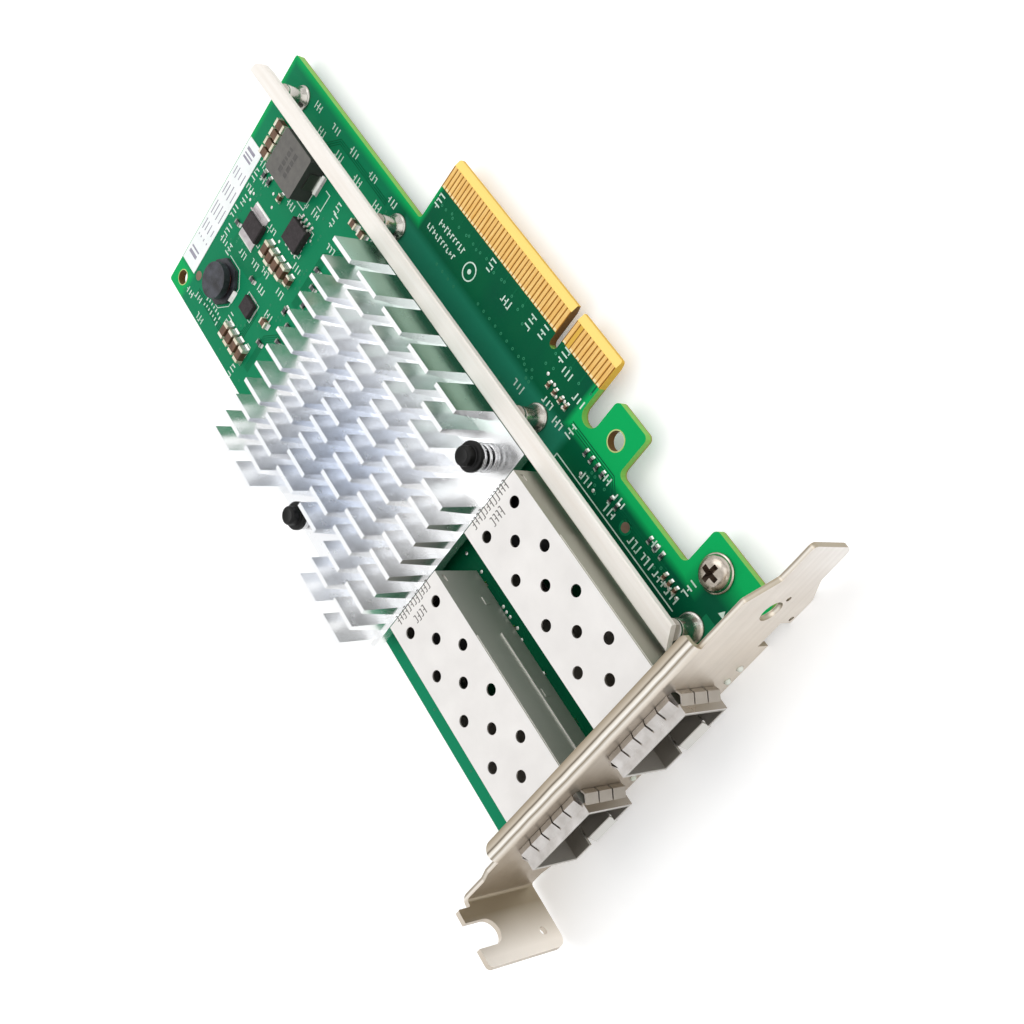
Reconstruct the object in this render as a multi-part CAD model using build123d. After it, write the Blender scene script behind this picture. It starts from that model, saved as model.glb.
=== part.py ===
"""Low-profile network interface card with two transceiver cages, in millimetres.

Frame: x = 0 at the centre of the key slot in the edge contacts, y = 0 at the lower edge of
the contact tongue, z = 0 on the component face.  +X runs from the bracket to the rear end of
the board, +Y from the contact edge to the top edge, +Z out of the component face.
"""
from build123d import *
import os

os.makedirs("parts", exist_ok=True)

CLEAR = 0.15            # plain clearance between a piece and the hole it passes through


def block(x0, x1, y0, y1, z0, z1):
    """A box by its limits."""
    centre = Pos((x0 + x1) / 2, (y0 + y1) / 2, (z0 + z1) / 2)
    return centre * Box(abs(x1 - x0), abs(y1 - y0), abs(z1 - z0))


def rod(x, y, z0, z1, diameter):
    """An upright round bar."""
    return Pos(x, y, (z0 + z1) / 2) * Cylinder(diameter / 2, z1 - z0)


def rod_x(y, z, x0, x1, diameter):
    """A round bar along X."""
    return Pos((x0 + x1) / 2, y, z) * Rot(0, 90, 0) * Cylinder(diameter / 2, x1 - x0)


def outline(corners):
    """A closed face through corners given as (u, v) or (u, v, radius)."""
    face = make_face(Polyline(*[corner[:2] for corner in corners], close=True))
    for corner in corners:
        if len(corner) == 3:
            near = Vector(corner[0], corner[1], 0)
            point = min(face.vertices(), key=lambda v: (Vector(v.X, v.Y, 0) - near).length)
            face = fillet(point, corner[2])
    return face


def slab_z(corners, z0, z1):
    """An outline in XY, thickened along Z."""
    return Pos(0, 0, z0) * extrude(outline(corners), amount=z1 - z0, dir=(0, 0, 1))


def slab_x(corners, x0, x1):
    """An outline in YZ, thickened along X."""
    return Pos(x0, 0, 0) * (Plane.YZ * extrude(outline(corners), amount=x1 - x0, dir=(0, 0, 1)))


def slab_y(corners, y0, y1):
    """An outline in XZ, thickened along Y."""
    up = Plane(origin=(0, 0, 0), x_dir=(1, 0, 0), z_dir=(0, -1, 0))
    return Pos(0, y1, 0) * (up * extrude(outline(corners), amount=y1 - y0, dir=(0, 0, 1)))


def group(name, solids):
    """Write loose solids as one node."""
    export_step(Compound(children=[s for s in solids], label=name), "parts/%s.step" % name)


def single(name, shape):
    """Write a piece that is one solid."""
    body = shape.solids()
    if len(body) != 1:
        raise ValueError("%s has %d solids" % (name, len(body)))
    body[0].label = name
    export_step(body[0], "parts/%s.step" % name)


# Board
BOARD_T = 1.57
SOLDER = -BOARD_T
BOARD_TOP = 68.6
BOARD_REAR = 89.65
BOARD_FRONT = -57.2
EDGE_Y = 12.9
TONGUE_X0 = -12.15
TONGUE_X1 = 39.15
KEY_W = 1.9
KEY_TOP = 8.0
HOOK_X0 = -24.5
HOOK_X1 = -16.1
HOOK_Y = 4.4
HOOK_HOLE = (-20.4, 8.9)
HOOK_HOLE_D = 3.2
GAP_TOP = 11.5
NOTCH_X0 = -42.8
NOTCH_Y = 12.1
FOOT_Y = 4.6
REAR_HOLE = (BOARD_REAR - 3.45, BOARD_TOP - 3.1)
REAR_HOLE_D = 3.0
BEVEL_Y = 1.4
BEVEL_Z = 0.45
TONGUE_TIP_R = 0.5
TONGUE_ROOT_R = 0.8
BOARD_R = 0.6
FOOT_R = 1.0
NOTCH_R = 1.2
GAP_R = 1.9

# Edge contacts
PAD_PITCH = 1.0
PAD_W = 0.7
PAD_TOP = 5.65
PAD_T = 0.06
PAD_SHORT = 1.0
FIRST_PAD = -11.5
PADS_BEFORE_KEY = 11
PADS_AFTER_KEY = 38
AFTER_KEY_PAD = 1.5
UNUSED_PAD = 10

# Bracket
SHEET = 0.86
FACE_IN = BOARD_FRONT - 1.14
FACE_OUT = FACE_IN - SHEET
TAB_UNDER = BOARD_TOP + 2.3
TAB_END = FACE_OUT - 11.3
TAB_STEP = FACE_OUT - 1.2
FACE_Z0 = SOLDER - 2.38
TAB_Z0 = FACE_Z0 + 0.95
TAB_Z1 = 14.8
TAB_NEAR_Z1 = 12.0
FACE_Z1 = 14.47
FACE_BEHIND_FLANGE = FACE_Z1 - 1.4
NECK_Y = BOARD_TOP - 2.6
NECK_SLOPE_Y = BOARD_TOP - 5.1
NECK_TOP_Y = BOARD_TOP - 0.6
NECK_R = 0.6
SHOULDER_TOP = 1.7
SHOULDER_LOW = -2.6
SHOULDER_R = 0.8
TONGUE_Z0 = -0.9
TONGUE_Z1 = 9.0
TONGUE_Y = -9.2
TONGUE_R = 1.6
BEND_R = 0.54
TAB_R = 2.0
TAB_NEAR_R = 0.8
TAB_STEP_R = 0.4
SCREW_SLOT_X = FACE_OUT - 5.8
SCREW_SLOT_W = 4.42
SCREW_SLOT_Z = 8.9
EDGE_NICK_D = 1.4
EDGE_NICK_Z = 0.3
FLANGE_X = FACE_IN + 2.04
FLANGE_Y0 = 11.0
FLANGE_Y1 = BOARD_TOP - 8.0
FLANGE_R0 = 1.2
FLANGE_R1 = 1.6
LUG_R = 2.0
LUG_WINDOW = 1.9
LUG_W = 5.0
LUG_PAST_SCREW = 3.4
SCREW_X = BOARD_FRONT + 9.6
SCREW_D = 2.9
PORT_CLEAR = 0.35
SCREW_HEAD_D = 6.1
SCREW_HEAD_H = 2.0
SCREW_EDGE = 0.8
RECESS_L = 3.5
RECESS_W = 0.9
RECESS_DEPTH = 1.1
SCREW_PAST_LUG = 0.5
TONGUE_HOLE = (3.7, 4.4, 3.8)
SMALL_HOLES = ((1.2, 2.9, 0.9), (5.5, SOLDER - 1.43, 0.9))

# Status lights on the solder side, each behind a hole in the bracket
LED_Y = (16.3, 19.2, 39.3, 42.2)
LED_W = 1.6
LED_L = 1.3
LED_H = 1.2
LED_HOLE_D = 1.2

# Cages
CAGE_W = 14.1
CAGE_H = 9.8
CAGE_T = 0.3
CAGE_REAR = -15.4
CAGE_FRONT = FACE_OUT - 3.55
CAGE_PITCH = 23.0
CAGE_Y = (27.95, 27.95 + CAGE_PITCH)
BRACKET_SCREWS = ((SCREW_X, 8.9), (SCREW_X, CAGE_Y[1] + CAGE_W / 2 + 3.4))
VENT_D = 2.0
VENT_PITCH = (4.53, 3.93)
VENT_GRID = ((0, 0), (0, 2), (1, 1), (2, 0), (2, 2), (3, 1), (4, 0), (4, 2), (5, 1), (6, 0),
             (6, 2), (7, 1))
VENT_FIRST = -19.2
CAGE_PIN_X = (-18.5, -28.0, -37.5, -47.0)
CAGE_PIN_W = 0.7
CAGE_PIN_LOW = SOLDER - 1.03
CAGE_SLOT = 1.0
CAGE_FLOOR_L = 18.0
CAGE_FLOOR_RIM = 0.8
LATCH_X0 = CAGE_FRONT + 1.0
LATCH_X1 = CAGE_FRONT + 10.25
LATCH_W = 5.6
LATCH_SLIT = 0.45
LIP_X = CAGE_FRONT + 0.1
LIP_Z = -1.1
LIP_T = 0.35
LIP_ROOT = 0.2
LIP_GAP = 0.05
KEYING_CUT = (2.2, 0.9, 1.6, 0.9)

# Stiffener
BAR_Z0 = 4.6
BAR_Z1 = 5.8
BAR_W = 3.4
BAR_Y1 = CAGE_Y[0] - CAGE_W / 2 - 0.8
BAR_Y0 = BAR_Y1 - BAR_W
BAR_FRONT = BOARD_FRONT + 4.6
BAR_REAR = BOARD_REAR + 2.65
BAR_EDGE = 0.25
BAR_FRONT_CUT = 2.2
BAR_REAR_CUT = ((5.3, 0), (2.8, 0.2), (0.7, 1.5))
POSTS = (BOARD_REAR - 7.75, 42.7, -6.1, BAR_FRONT + BAR_FRONT_CUT)
POST_Y = BAR_Y1 - 2.4
POST_FLANGE_D = 5.0
POST_FLANGE_H = 0.5
POST_CONE_D = 4.6
POST_CONE_H = 1.3
POST_D = 3.3

# Heat sink
SINK_X0 = -11.4
SINK_X1 = 42.2
SINK_Y0 = BAR_Y1 + 1.0
SINK_Y1 = BOARD_TOP - 0.2
SINK_Z0 = 2.2
SINK_BASE_T = 1.9
SINK_TOP = 12.3
FIN_ROWS = 6
FIN_COLUMNS = 12
FIN_LENGTH = 6.5
FIN_ROW_PITCH = 9.25
FIN_FIRST_X = 41.9
FIN_TIP_W = 0.85
FIN_ROOT_W = 1.9
FIN_BURIED = 0.3
CORNER_ROW = FIN_ROWS - 1
CORNER_FREE = 3
EDGE_ROWS = (2, 3)
EDGE_FREE = 2
PINS = ((SINK_X0 + 5.2, SINK_Y0 + 5.9), (SINK_X0 + 28.1, SINK_Y1 - 3.65))
CHIP_CENTRE = ((PINS[0][0] + PINS[1][0]) / 2, (PINS[0][1] + PINS[1][1]) / 2)
CHIP_W = 25.0
CHIP_T = 1.2
LID_W = 20.0
LID_T = 0.6

# Push pins
PIN_FLANGE_D = 5.2
PIN_FLANGE_T = 0.95
PIN_FLANGE_Z0 = 7.6
PIN_BOSS_D = 3.5
PIN_TOP = 10.2
PIN_EDGE = 0.3
PIN_SHAFT_D = 2.4
PIN_BARB_D = 3.6
PIN_POINT_D = 1.4
PIN_TIP_Z = SOLDER - 2.03
SPRING_D = 4.9
SPRING_WIRE = 0.7
SPRING_TURNS = 3


def board():
    """Board blank with its tongue, tabs, notches and drilled holes."""
    blank = slab_z([
        (TONGUE_X0, 0, TONGUE_TIP_R), (TONGUE_X1, 0, TONGUE_TIP_R),
        (TONGUE_X1, EDGE_Y, TONGUE_ROOT_R), (BOARD_REAR, EDGE_Y, BOARD_R),
        (BOARD_REAR, BOARD_TOP, BOARD_R), (BOARD_FRONT, BOARD_TOP, BOARD_R),
        (BOARD_FRONT, FOOT_Y, FOOT_R), (NOTCH_X0, FOOT_Y, FOOT_R), (NOTCH_X0, NOTCH_Y, NOTCH_R),
        (HOOK_X0, NOTCH_Y, NOTCH_R), (HOOK_X0, HOOK_Y, FOOT_R), (HOOK_X1, HOOK_Y, FOOT_R),
        (HOOK_X1, GAP_TOP, GAP_R), (TONGUE_X0, GAP_TOP, GAP_R)], SOLDER, 0)
    key_round = KEY_TOP - KEY_W / 2
    cuts = [block(-KEY_W / 2, KEY_W / 2, -1, key_round, SOLDER - 1, 1),
            rod(0, key_round, SOLDER - 1, 1, KEY_W),
            rod(*HOOK_HOLE, SOLDER - 1, 1, HOOK_HOLE_D),
            rod(*REAR_HOLE, SOLDER - 1, 1, REAR_HOLE_D)]
    for face_z, sign in ((0, 1), (SOLDER, -1)):
        inside = face_z - sign * BEVEL_Z
        cuts.append(slab_x([(-1, inside - sign * BEVEL_Z / BEVEL_Y), (BEVEL_Y, face_z),
                            (BEVEL_Y, face_z + sign), (-1, face_z + sign)],
                           TONGUE_X0 - 1, TONGUE_X1 + 1))
    for x, y in BRACKET_SCREWS:
        cuts.append(rod(x, y, SOLDER - 1, 1, SCREW_D + 2 * CLEAR))
    for x, y in PINS:
        cuts.append(rod(x, y, SOLDER - 1, 1, PIN_SHAFT_D + 2 * CLEAR))
    for centre in CAGE_Y:
        for x in CAGE_PIN_X:
            for side in (-1, 1):
                wall = centre + side * (CAGE_W - CAGE_T) / 2
                cuts.append(block(x - CAGE_SLOT / 2, x + CAGE_SLOT / 2, wall - CAGE_SLOT / 2,
                                  wall + CAGE_SLOT / 2, SOLDER - 1, 1))
    return blank - cuts


def contacts(z0, z1, unused, short):
    """Gold pads of one side of the tongue."""
    pads = []
    for number in range(1, PADS_BEFORE_KEY + PADS_AFTER_KEY + 1):
        if number in unused:
            continue
        if number <= PADS_BEFORE_KEY:
            x = FIRST_PAD + (number - 1) * PAD_PITCH
        else:
            x = AFTER_KEY_PAD + (number - PADS_BEFORE_KEY - 1) * PAD_PITCH
        low = BEVEL_Y + (PAD_SHORT if number in short else 0)
        pads.append(block(x - PAD_W / 2, x + PAD_W / 2, low, PAD_TOP, z0, z1))
    return pads


def bracket():
    """Bent sheet bracket: face, screw tab, return flange and two board lugs."""
    face = slab_x([
        (TAB_UNDER - 1, TAB_Z0), (TAB_UNDER - 1, TAB_NEAR_Z1), (NECK_Y, TAB_NEAR_Z1, NECK_R),
        (NECK_SLOPE_Y, FACE_BEHIND_FLANGE, NECK_R),
        (SHOULDER_TOP, FACE_BEHIND_FLANGE, SHOULDER_R), (SHOULDER_LOW, TONGUE_Z1, SHOULDER_R),
        (TONGUE_Y, TONGUE_Z1, SHOULDER_R), (TONGUE_Y, TONGUE_Z0, TONGUE_R),
        (SHOULDER_LOW, TONGUE_Z0, SHOULDER_R), (SHOULDER_TOP, FACE_Z0, SHOULDER_R),
        (NECK_Y, FACE_Z0, NECK_R), (NECK_TOP_Y, TAB_Z0, NECK_R)], FACE_OUT, FACE_IN)
    bend_out = BEND_R + SHEET
    tab_strip = slab_z([
        (FACE_OUT, TAB_UNDER - 2), (FACE_OUT, TAB_UNDER, BEND_R), (TAB_END, TAB_UNDER),
        (TAB_END, TAB_UNDER + SHEET), (FACE_IN, TAB_UNDER + SHEET, bend_out),
        (FACE_IN, TAB_UNDER - 2)], TAB_Z0, TAB_Z1)
    tab_plan = slab_y([
        (TAB_END, TAB_Z0, TAB_R), (FACE_IN + 1, TAB_Z0), (FACE_IN + 1, TAB_NEAR_Z1),
        (TAB_STEP, TAB_NEAR_Z1, TAB_STEP_R), (TAB_STEP, TAB_Z1, TAB_STEP_R),
        (TAB_END, TAB_Z1, TAB_NEAR_R)], TAB_UNDER - 3, TAB_UNDER + 2 * SHEET)
    half = SCREW_SLOT_W / 2
    slot = [block(SCREW_SLOT_X - half, SCREW_SLOT_X + half, TAB_UNDER - 3, TAB_UNDER + 3,
                  SCREW_SLOT_Z + half, TAB_Z1 + 1),
            Pos(SCREW_SLOT_X, TAB_UNDER, SCREW_SLOT_Z + half) * Rot(90, 0, 0)
            * Cylinder(half, 8),
            Pos(SCREW_SLOT_X - half, TAB_UNDER, EDGE_NICK_Z) * Rot(90, 0, 0)
            * Cylinder(EDGE_NICK_D / 2, 8)]
    tab = (tab_strip & tab_plan) - slot
    flange = slab_y([
        (FACE_OUT, FACE_Z1 - 3), (FACE_OUT, FACE_Z1, bend_out), (FLANGE_X, FACE_Z1),
        (FLANGE_X, FACE_Z1 - SHEET), (FACE_IN, FACE_Z1 - SHEET, BEND_R), (FACE_IN, FACE_Z1 - 3)],
        FLANGE_Y0, FLANGE_Y1)
    flange_plan = slab_z([(FACE_OUT - 1, FLANGE_Y0 - 1), (FLANGE_X, FLANGE_Y0, FLANGE_R0),
                          (FLANGE_X, FLANGE_Y1, FLANGE_R1), (FACE_OUT - 1, FLANGE_Y1)],
                         FACE_Z1 - 4, FACE_Z1 + 1)
    flange = flange & flange_plan
    whole = face + tab + flange
    lug_under = SOLDER - SHEET
    cuts = []
    for x, y in BRACKET_SCREWS:
        lug_end = x + LUG_PAST_SCREW
        lug = slab_y([
            (FACE_OUT, SOLDER + 2), (FACE_OUT, lug_under, bend_out), (lug_end, lug_under),
            (lug_end, SOLDER), (FACE_IN, SOLDER, BEND_R), (FACE_IN, SOLDER + 2)],
            y - LUG_W / 2, y + LUG_W / 2)
        plan = slab_z([
            (FACE_OUT - 1, y - LUG_W / 2), (lug_end, y - LUG_W / 2, LUG_R),
            (lug_end, y + LUG_W / 2, LUG_R), (FACE_OUT - 1, y + LUG_W / 2)],
            lug_under - 1, SOLDER + 3)
        whole = whole - block(FACE_OUT - 1, FACE_IN + 1, y - LUG_W / 2, y + LUG_W / 2,
                              FACE_Z0 - 1, SOLDER + LUG_WINDOW)
        whole = whole + (lug & plan)
        cuts.append(rod(x, y, lug_under - 1, SOLDER + 1, SCREW_D))
    for centre in CAGE_Y:
        reach = CAGE_W / 2 + PORT_CLEAR
        cuts.append(block(FACE_OUT - 1, FACE_IN + 1, centre - reach, centre + reach,
                          -PORT_CLEAR, CAGE_H + PORT_CLEAR))
    light_holes = [(y, SOLDER - LED_H / 2, LED_HOLE_D) for y in LED_Y]
    for y, z, diameter in [TONGUE_HOLE, *SMALL_HOLES, *light_holes]:
        cuts.append(rod_x(y, z, FACE_OUT - 1, FACE_IN + 1, diameter))
    return whole - cuts


def bracket_screw(x, y):
    """Pan head with a cross recess, and its shank."""
    head = rod(x, y, 0, SCREW_HEAD_H, SCREW_HEAD_D)
    head = chamfer(head.edges().sort_by(Axis.Z)[-1], SCREW_EDGE)
    floor = SCREW_HEAD_H - RECESS_DEPTH
    width = RECESS_W / 2
    reach = RECESS_L / 2
    recess = [block(x - u, x + u, y - v, y + v, floor, SCREW_HEAD_H + 1)
              for u, v in ((width, reach), (reach, width))]
    shank = rod(x, y, SOLDER - SHEET - SCREW_PAST_LUG, floor / 2, SCREW_D)
    return (head - recess) + shank


def stiffener_bar():
    """Flat bar with its outer corners cut back at both ends."""
    rear_curve = [(BAR_REAR - back, BAR_Y0 + up) for back, up in BAR_REAR_CUT]
    bar = slab_z([(BAR_FRONT + BAR_FRONT_CUT, BAR_Y0), *rear_curve, (BAR_REAR, BAR_Y1),
                  (BAR_FRONT, BAR_Y1)], BAR_Z0, BAR_Z1)
    long_edges = bar.edges().filter_by(Axis.X).group_by(Axis.Z)[-1]
    return chamfer(long_edges, BAR_EDGE)


def post(x):
    """Spacer with a round foot that rises to the barrel in a cone."""
    foot = rod(x, POST_Y, 0, POST_FLANGE_H, POST_FLANGE_D)
    cone = Pos(x, POST_Y, POST_FLANGE_H + POST_CONE_H / 2) * Cone(
        POST_CONE_D / 2, POST_D / 2, POST_CONE_H)
    barrel = rod(x, POST_Y, POST_FLANGE_H + POST_CONE_H / 2, BAR_Z0, POST_D)
    return foot + cone + barrel


def heat_sink():
    """Cast base with rows of tapered fins; fins are left out round the push pins."""
    base_top = SINK_Z0 + SINK_BASE_T
    base = block(SINK_X0, SINK_X1, SINK_Y0, SINK_Y1, SINK_Z0, base_top)
    first = SINK_Y0 + FIN_ROOT_W / 2
    pitch = (SINK_Y1 - SINK_Y0 - FIN_ROOT_W) / (FIN_COLUMNS - 1)
    fins = []
    for row in range(FIN_ROWS):
        x1 = FIN_FIRST_X - row * FIN_ROW_PITCH
        for column in range(FIN_COLUMNS):
            if row == CORNER_ROW and column < CORNER_FREE:
                continue
            if row in EDGE_ROWS and column >= FIN_COLUMNS - EDGE_FREE:
                continue
            y = first + column * pitch
            buried = base_top - FIN_BURIED
            fins.append(slab_x([
                (y - FIN_ROOT_W / 2, buried), (y + FIN_ROOT_W / 2, buried),
                (y + FIN_ROOT_W / 2, base_top), (y + FIN_TIP_W / 2, SINK_TOP),
                (y - FIN_TIP_W / 2, SINK_TOP), (y - FIN_ROOT_W / 2, base_top)],
                x1 - FIN_LENGTH, x1))
    holes = [rod(x, y, SINK_Z0 - 1, base_top + 1, PIN_SHAFT_D + 2 * CLEAR) for x, y in PINS]
    return (base + fins) - holes


def push_pin(x, y):
    """Flange with a smaller boss on it, shaft, and barbed tip under the board."""
    flange_top = PIN_FLANGE_Z0 + PIN_FLANGE_T
    flange = rod(x, y, PIN_FLANGE_Z0, flange_top, PIN_FLANGE_D)
    flange = chamfer(flange.edges().sort_by(Axis.Z)[-1], PIN_EDGE)
    boss = rod(x, y, PIN_FLANGE_Z0, PIN_TOP, PIN_BOSS_D)
    boss = chamfer(boss.edges().sort_by(Axis.Z)[-1], PIN_EDGE)
    tip_h = SOLDER - PIN_TIP_Z
    shaft = rod(x, y, SOLDER - tip_h / 4, flange_top, PIN_SHAFT_D)
    barb = Pos(x, y, PIN_TIP_Z + tip_h / 2) * Cone(PIN_POINT_D / 2, PIN_BARB_D / 2, tip_h)
    return flange + boss + shaft + barb


def spring(x, y):
    """Coil between the heat sink and the flange of the push pin."""
    z0 = SINK_Z0 + SINK_BASE_T + SPRING_WIRE / 2
    height = PIN_FLANGE_Z0 - SPRING_WIRE / 2 - z0
    radius = (SPRING_D - SPRING_WIRE) / 2
    path = Helix(pitch=height / SPRING_TURNS, height=height, radius=radius)
    start = Plane(origin=path @ 0, z_dir=path % 0)
    coil = sweep(start * RegularPolygon(SPRING_WIRE / 2, 4), path=path, is_frenet=True)
    return Pos(x, y, z0) * coil


def cage(centre):
    """Folded sheet shell, open at the mouth, with vents, latch tongue and solder pins."""
    half = CAGE_W / 2
    shell = block(CAGE_FRONT, CAGE_REAR, centre - half, centre + half, 0, CAGE_H)
    shell -= block(CAGE_FRONT - 1, CAGE_REAR - CAGE_T, centre - half + CAGE_T,
                   centre + half - CAGE_T, CAGE_T, CAGE_H - CAGE_T)
    floor_half = half - CAGE_FLOOR_RIM
    cuts = [block(CAGE_REAR - CAGE_FLOOR_L, CAGE_REAR - CAGE_FLOOR_RIM, centre - floor_half,
                  centre + floor_half, -1, 2 * CAGE_T)]
    for i, j in VENT_GRID:
        cuts.append(rod(VENT_FIRST - i * VENT_PITCH[0], centre + (j - 1) * VENT_PITCH[1],
                        CAGE_H - 1, CAGE_H + 1, VENT_D))
    reach = LATCH_W / 2 + LATCH_SLIT
    cuts.append(block(CAGE_FRONT - 1, LATCH_X0, centre - reach, centre + reach, -1, 2 * CAGE_T))
    for side in (-1, 1):
        edges = sorted((centre + side * LATCH_W / 2, centre + side * reach))
        cuts.append(block(LATCH_X0 - CAGE_T, LATCH_X1, *edges, -1, 2 * CAGE_T))
    x0, x1, z0, z1 = KEYING_CUT
    cuts.append(block(CAGE_REAR - x0, CAGE_REAR - x1, centre - half - 1,
                      centre - half + CAGE_T / 2, CAGE_H - z0, CAGE_H - z1))
    lip = slab_y([(LATCH_X0 + LIP_ROOT, CAGE_T), (LATCH_X0, CAGE_T), (LIP_X, LIP_Z),
                  (LIP_X + LIP_T, LIP_Z), (LATCH_X0 + LIP_ROOT, 0)],
                 centre - LATCH_W / 2, centre + LATCH_W / 2)
    pins = [lip]
    for x in CAGE_PIN_X:
        for side in (-1, 1):
            wall = centre + side * (half - CAGE_T / 2)
            pins.append(block(x - CAGE_PIN_W / 2, x + CAGE_PIN_W / 2, wall - CAGE_T / 2,
                              wall + CAGE_T / 2, CAGE_PIN_LOW, 0.2))
    return (shell - cuts) + pins


COLLAR_T = 0.25
COLLAR_BAND = CAGE_FRONT + 1.65
COLLAR_TOUCH = FACE_OUT - 0.05
COLLAR_BULGE = 1.0
COLLAR_TURN = 0.7
COLLAR_ROOT = 0.4
COLLAR_CREST = 0.9
SLIT_W = 0.3
FINGERS_WIDE = 5
FINGERS_TALL = 3


def collar(centre):
    """Spring band round the mouth with fingers that bow out towards the bracket."""
    half = CAGE_W / 2
    band = block(CAGE_FRONT, COLLAR_BAND, centre - half - COLLAR_T, centre + half + COLLAR_T,
                 -COLLAR_T, CAGE_H + COLLAR_T)
    band -= block(CAGE_FRONT - 1, COLLAR_BAND + 1, centre - half, centre + half, 0, CAGE_H)
    reach = LATCH_W / 2 + LATCH_SLIT
    band -= block(CAGE_FRONT - 1, LATCH_X0 + LIP_ROOT + LIP_GAP, centre - reach, centre + reach,
                  -1, 1)
    root = COLLAR_BAND - COLLAR_ROOT
    crest = COLLAR_TOUCH - COLLAR_CREST

    def finger(level, sign):
        bulge = level + sign * COLLAR_BULGE
        turned_in = level + sign * COLLAR_BULGE * COLLAR_TURN
        outside = sign * COLLAR_T
        return [(root, level), (crest, bulge), (COLLAR_TOUCH, turned_in),
                (COLLAR_TOUCH, turned_in + outside), (crest, bulge + outside),
                (root, level + outside)]

    pieces = []
    step = CAGE_W / FINGERS_WIDE
    for i in range(FINGERS_WIDE):
        y0 = centre - half + i * step + SLIT_W / 2
        y1 = y0 + step - SLIT_W
        pieces.append(slab_y(finger(CAGE_H, 1), y0, y1))
        pieces.append(slab_y(finger(0, -1), y0, y1))
    step = CAGE_H / FINGERS_TALL
    for i in range(FINGERS_TALL):
        z0 = i * step + SLIT_W / 2
        z1 = z0 + step - SLIT_W
        pieces.append(slab_z(finger(centre + half, 1), z0, z1))
        pieces.append(slab_z(finger(centre - half, -1), z0, z1))
    return band + pieces


SOCKET_X1 = CAGE_REAR - CAGE_T - 0.6
SOCKET_X0 = SOCKET_X1 - 10.2
SOCKET_W = 11.6
SOCKET_H = 5.4
SOCKET_CHIN = (2.0, 1.2)
SLOT_Z0 = 3.0
SLOT_Z1 = 4.3
SLOT_W = 9.4
SLOT_DEPTH = 6.5
SOCKET_PITCH = 0.8
SOCKET_WAYS = 10
CONTACT_W = 0.4
CONTACT_T = 0.2
CONTACT_IN = 0.6


def socket(centre):
    """Moulded edge socket at the rear of the cage."""
    body = block(SOCKET_X0, SOCKET_X1, centre - SOCKET_W / 2, centre + SOCKET_W / 2, 0, SOCKET_H)
    cut = block(SOCKET_X0 - 1, SOCKET_X0 + SLOT_DEPTH, centre - SLOT_W / 2, centre + SLOT_W / 2,
                SLOT_Z0, SLOT_Z1)
    under, high = SOCKET_CHIN
    relief = block(SOCKET_X0 - 1, SOCKET_X0 + under, centre - SOCKET_W / 2 - 1,
                   centre + SOCKET_W / 2 + 1, -1, high)
    return body - cut - relief


def socket_contacts(centre):
    """Two rows of spring contacts in the slot."""
    made = []
    for i in range(SOCKET_WAYS):
        y = centre + (i - (SOCKET_WAYS - 1) / 2) * SOCKET_PITCH
        for z0, z1 in ((SLOT_Z0, SLOT_Z0 + CONTACT_T), (SLOT_Z1 - CONTACT_T, SLOT_Z1)):
            made.append(block(SOCKET_X0 + CONTACT_IN, SOCKET_X0 + SLOT_DEPTH, y - CONTACT_W / 2,
                              y + CONTACT_W / 2, z0, z1))
    return made


END_SHARE = 0.2         # length of each tinned end, as a share of the part
END_OVER = 0.03         # thickness of the tin over the body


def end_caps(x, y, length, width, height, along, z_face=0):
    """Body and two wrapped ends of a two-terminal chip part, centred at x, y."""
    cap = length * END_SHARE
    over = END_OVER
    up = 1 if z_face == 0 else -1
    spans = ((-length / 2, -length / 2 + cap), (length / 2 - cap, length / 2))

    def make(u0, u1, grow):
        w = width / 2 + grow
        z0 = z_face
        z1 = z_face + up * (height + grow)
        low, high = min(z0, z1), max(z0, z1)
        if along == "x":
            return block(x + u0, x + u1, y - w, y + w, low, high)
        return block(x - w, x + w, y + u0, y + u1, low, high)

    body = make(spans[0][1], spans[1][0], 0)
    return body, [make(a, b, over) for a, b in spans]


# Chip parts: x, y, length, width, height, direction.  The rear tables count x in from the
# rear edge of the board, the front tables from the key slot.
REAR_CAPACITORS = (
    (7.55, 24.6, 3.2, 1.6, 1.4, "x"), (7.55, 26.7, 3.2, 1.6, 1.4, "x"),
    (7.55, 28.8, 3.2, 1.6, 1.4, "x"), (7.55, 30.9, 3.2, 1.6, 1.4, "x"),
    (21.65, 43.4, 3.2, 1.6, 1.4, "y"), (24.05, 43.6, 3.2, 1.6, 1.4, "y"),
    (26.45, 43.6, 3.2, 1.6, 1.4, "y"), (28.85, 43.4, 3.2, 1.6, 1.4, "y"),
    (31.25, 43.4, 2.0, 1.25, 1.1, "y"),
    (23.65, 62.6, 3.2, 1.6, 1.4, "y"), (26.05, 62.6, 3.2, 1.6, 1.4, "y"),
    (28.45, 62.6, 3.2, 1.6, 1.4, "y"), (30.85, 62.6, 3.2, 1.6, 1.4, "y"),
    (31.65, 53.6, 2.0, 1.25, 1.0, "x"), (17.05, 34.4, 1.6, 0.8, 0.8, "y"),
    (38.05, 24.2, 2.0, 1.25, 1.0, "x"), (41.25, 24.2, 2.0, 1.25, 1.0, "x"),
)
FRONT_CAPACITORS = (
    (-4.2, 12.2, 1.0, 0.5, 0.5, "y"), (-6.0, 12.2, 1.0, 0.5, 0.5, "y"),
    (-7.8, 12.2, 1.0, 0.5, 0.5, "y"), (-9.4, 12.2, 1.0, 0.5, 0.5, "y"),
    (-41.8, 16.0, 1.0, 0.5, 0.5, "y"), (-43.2, 16.0, 1.0, 0.5, 0.5, "y"),
    (-44.6, 16.0, 1.0, 0.5, 0.5, "y"),
)
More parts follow.
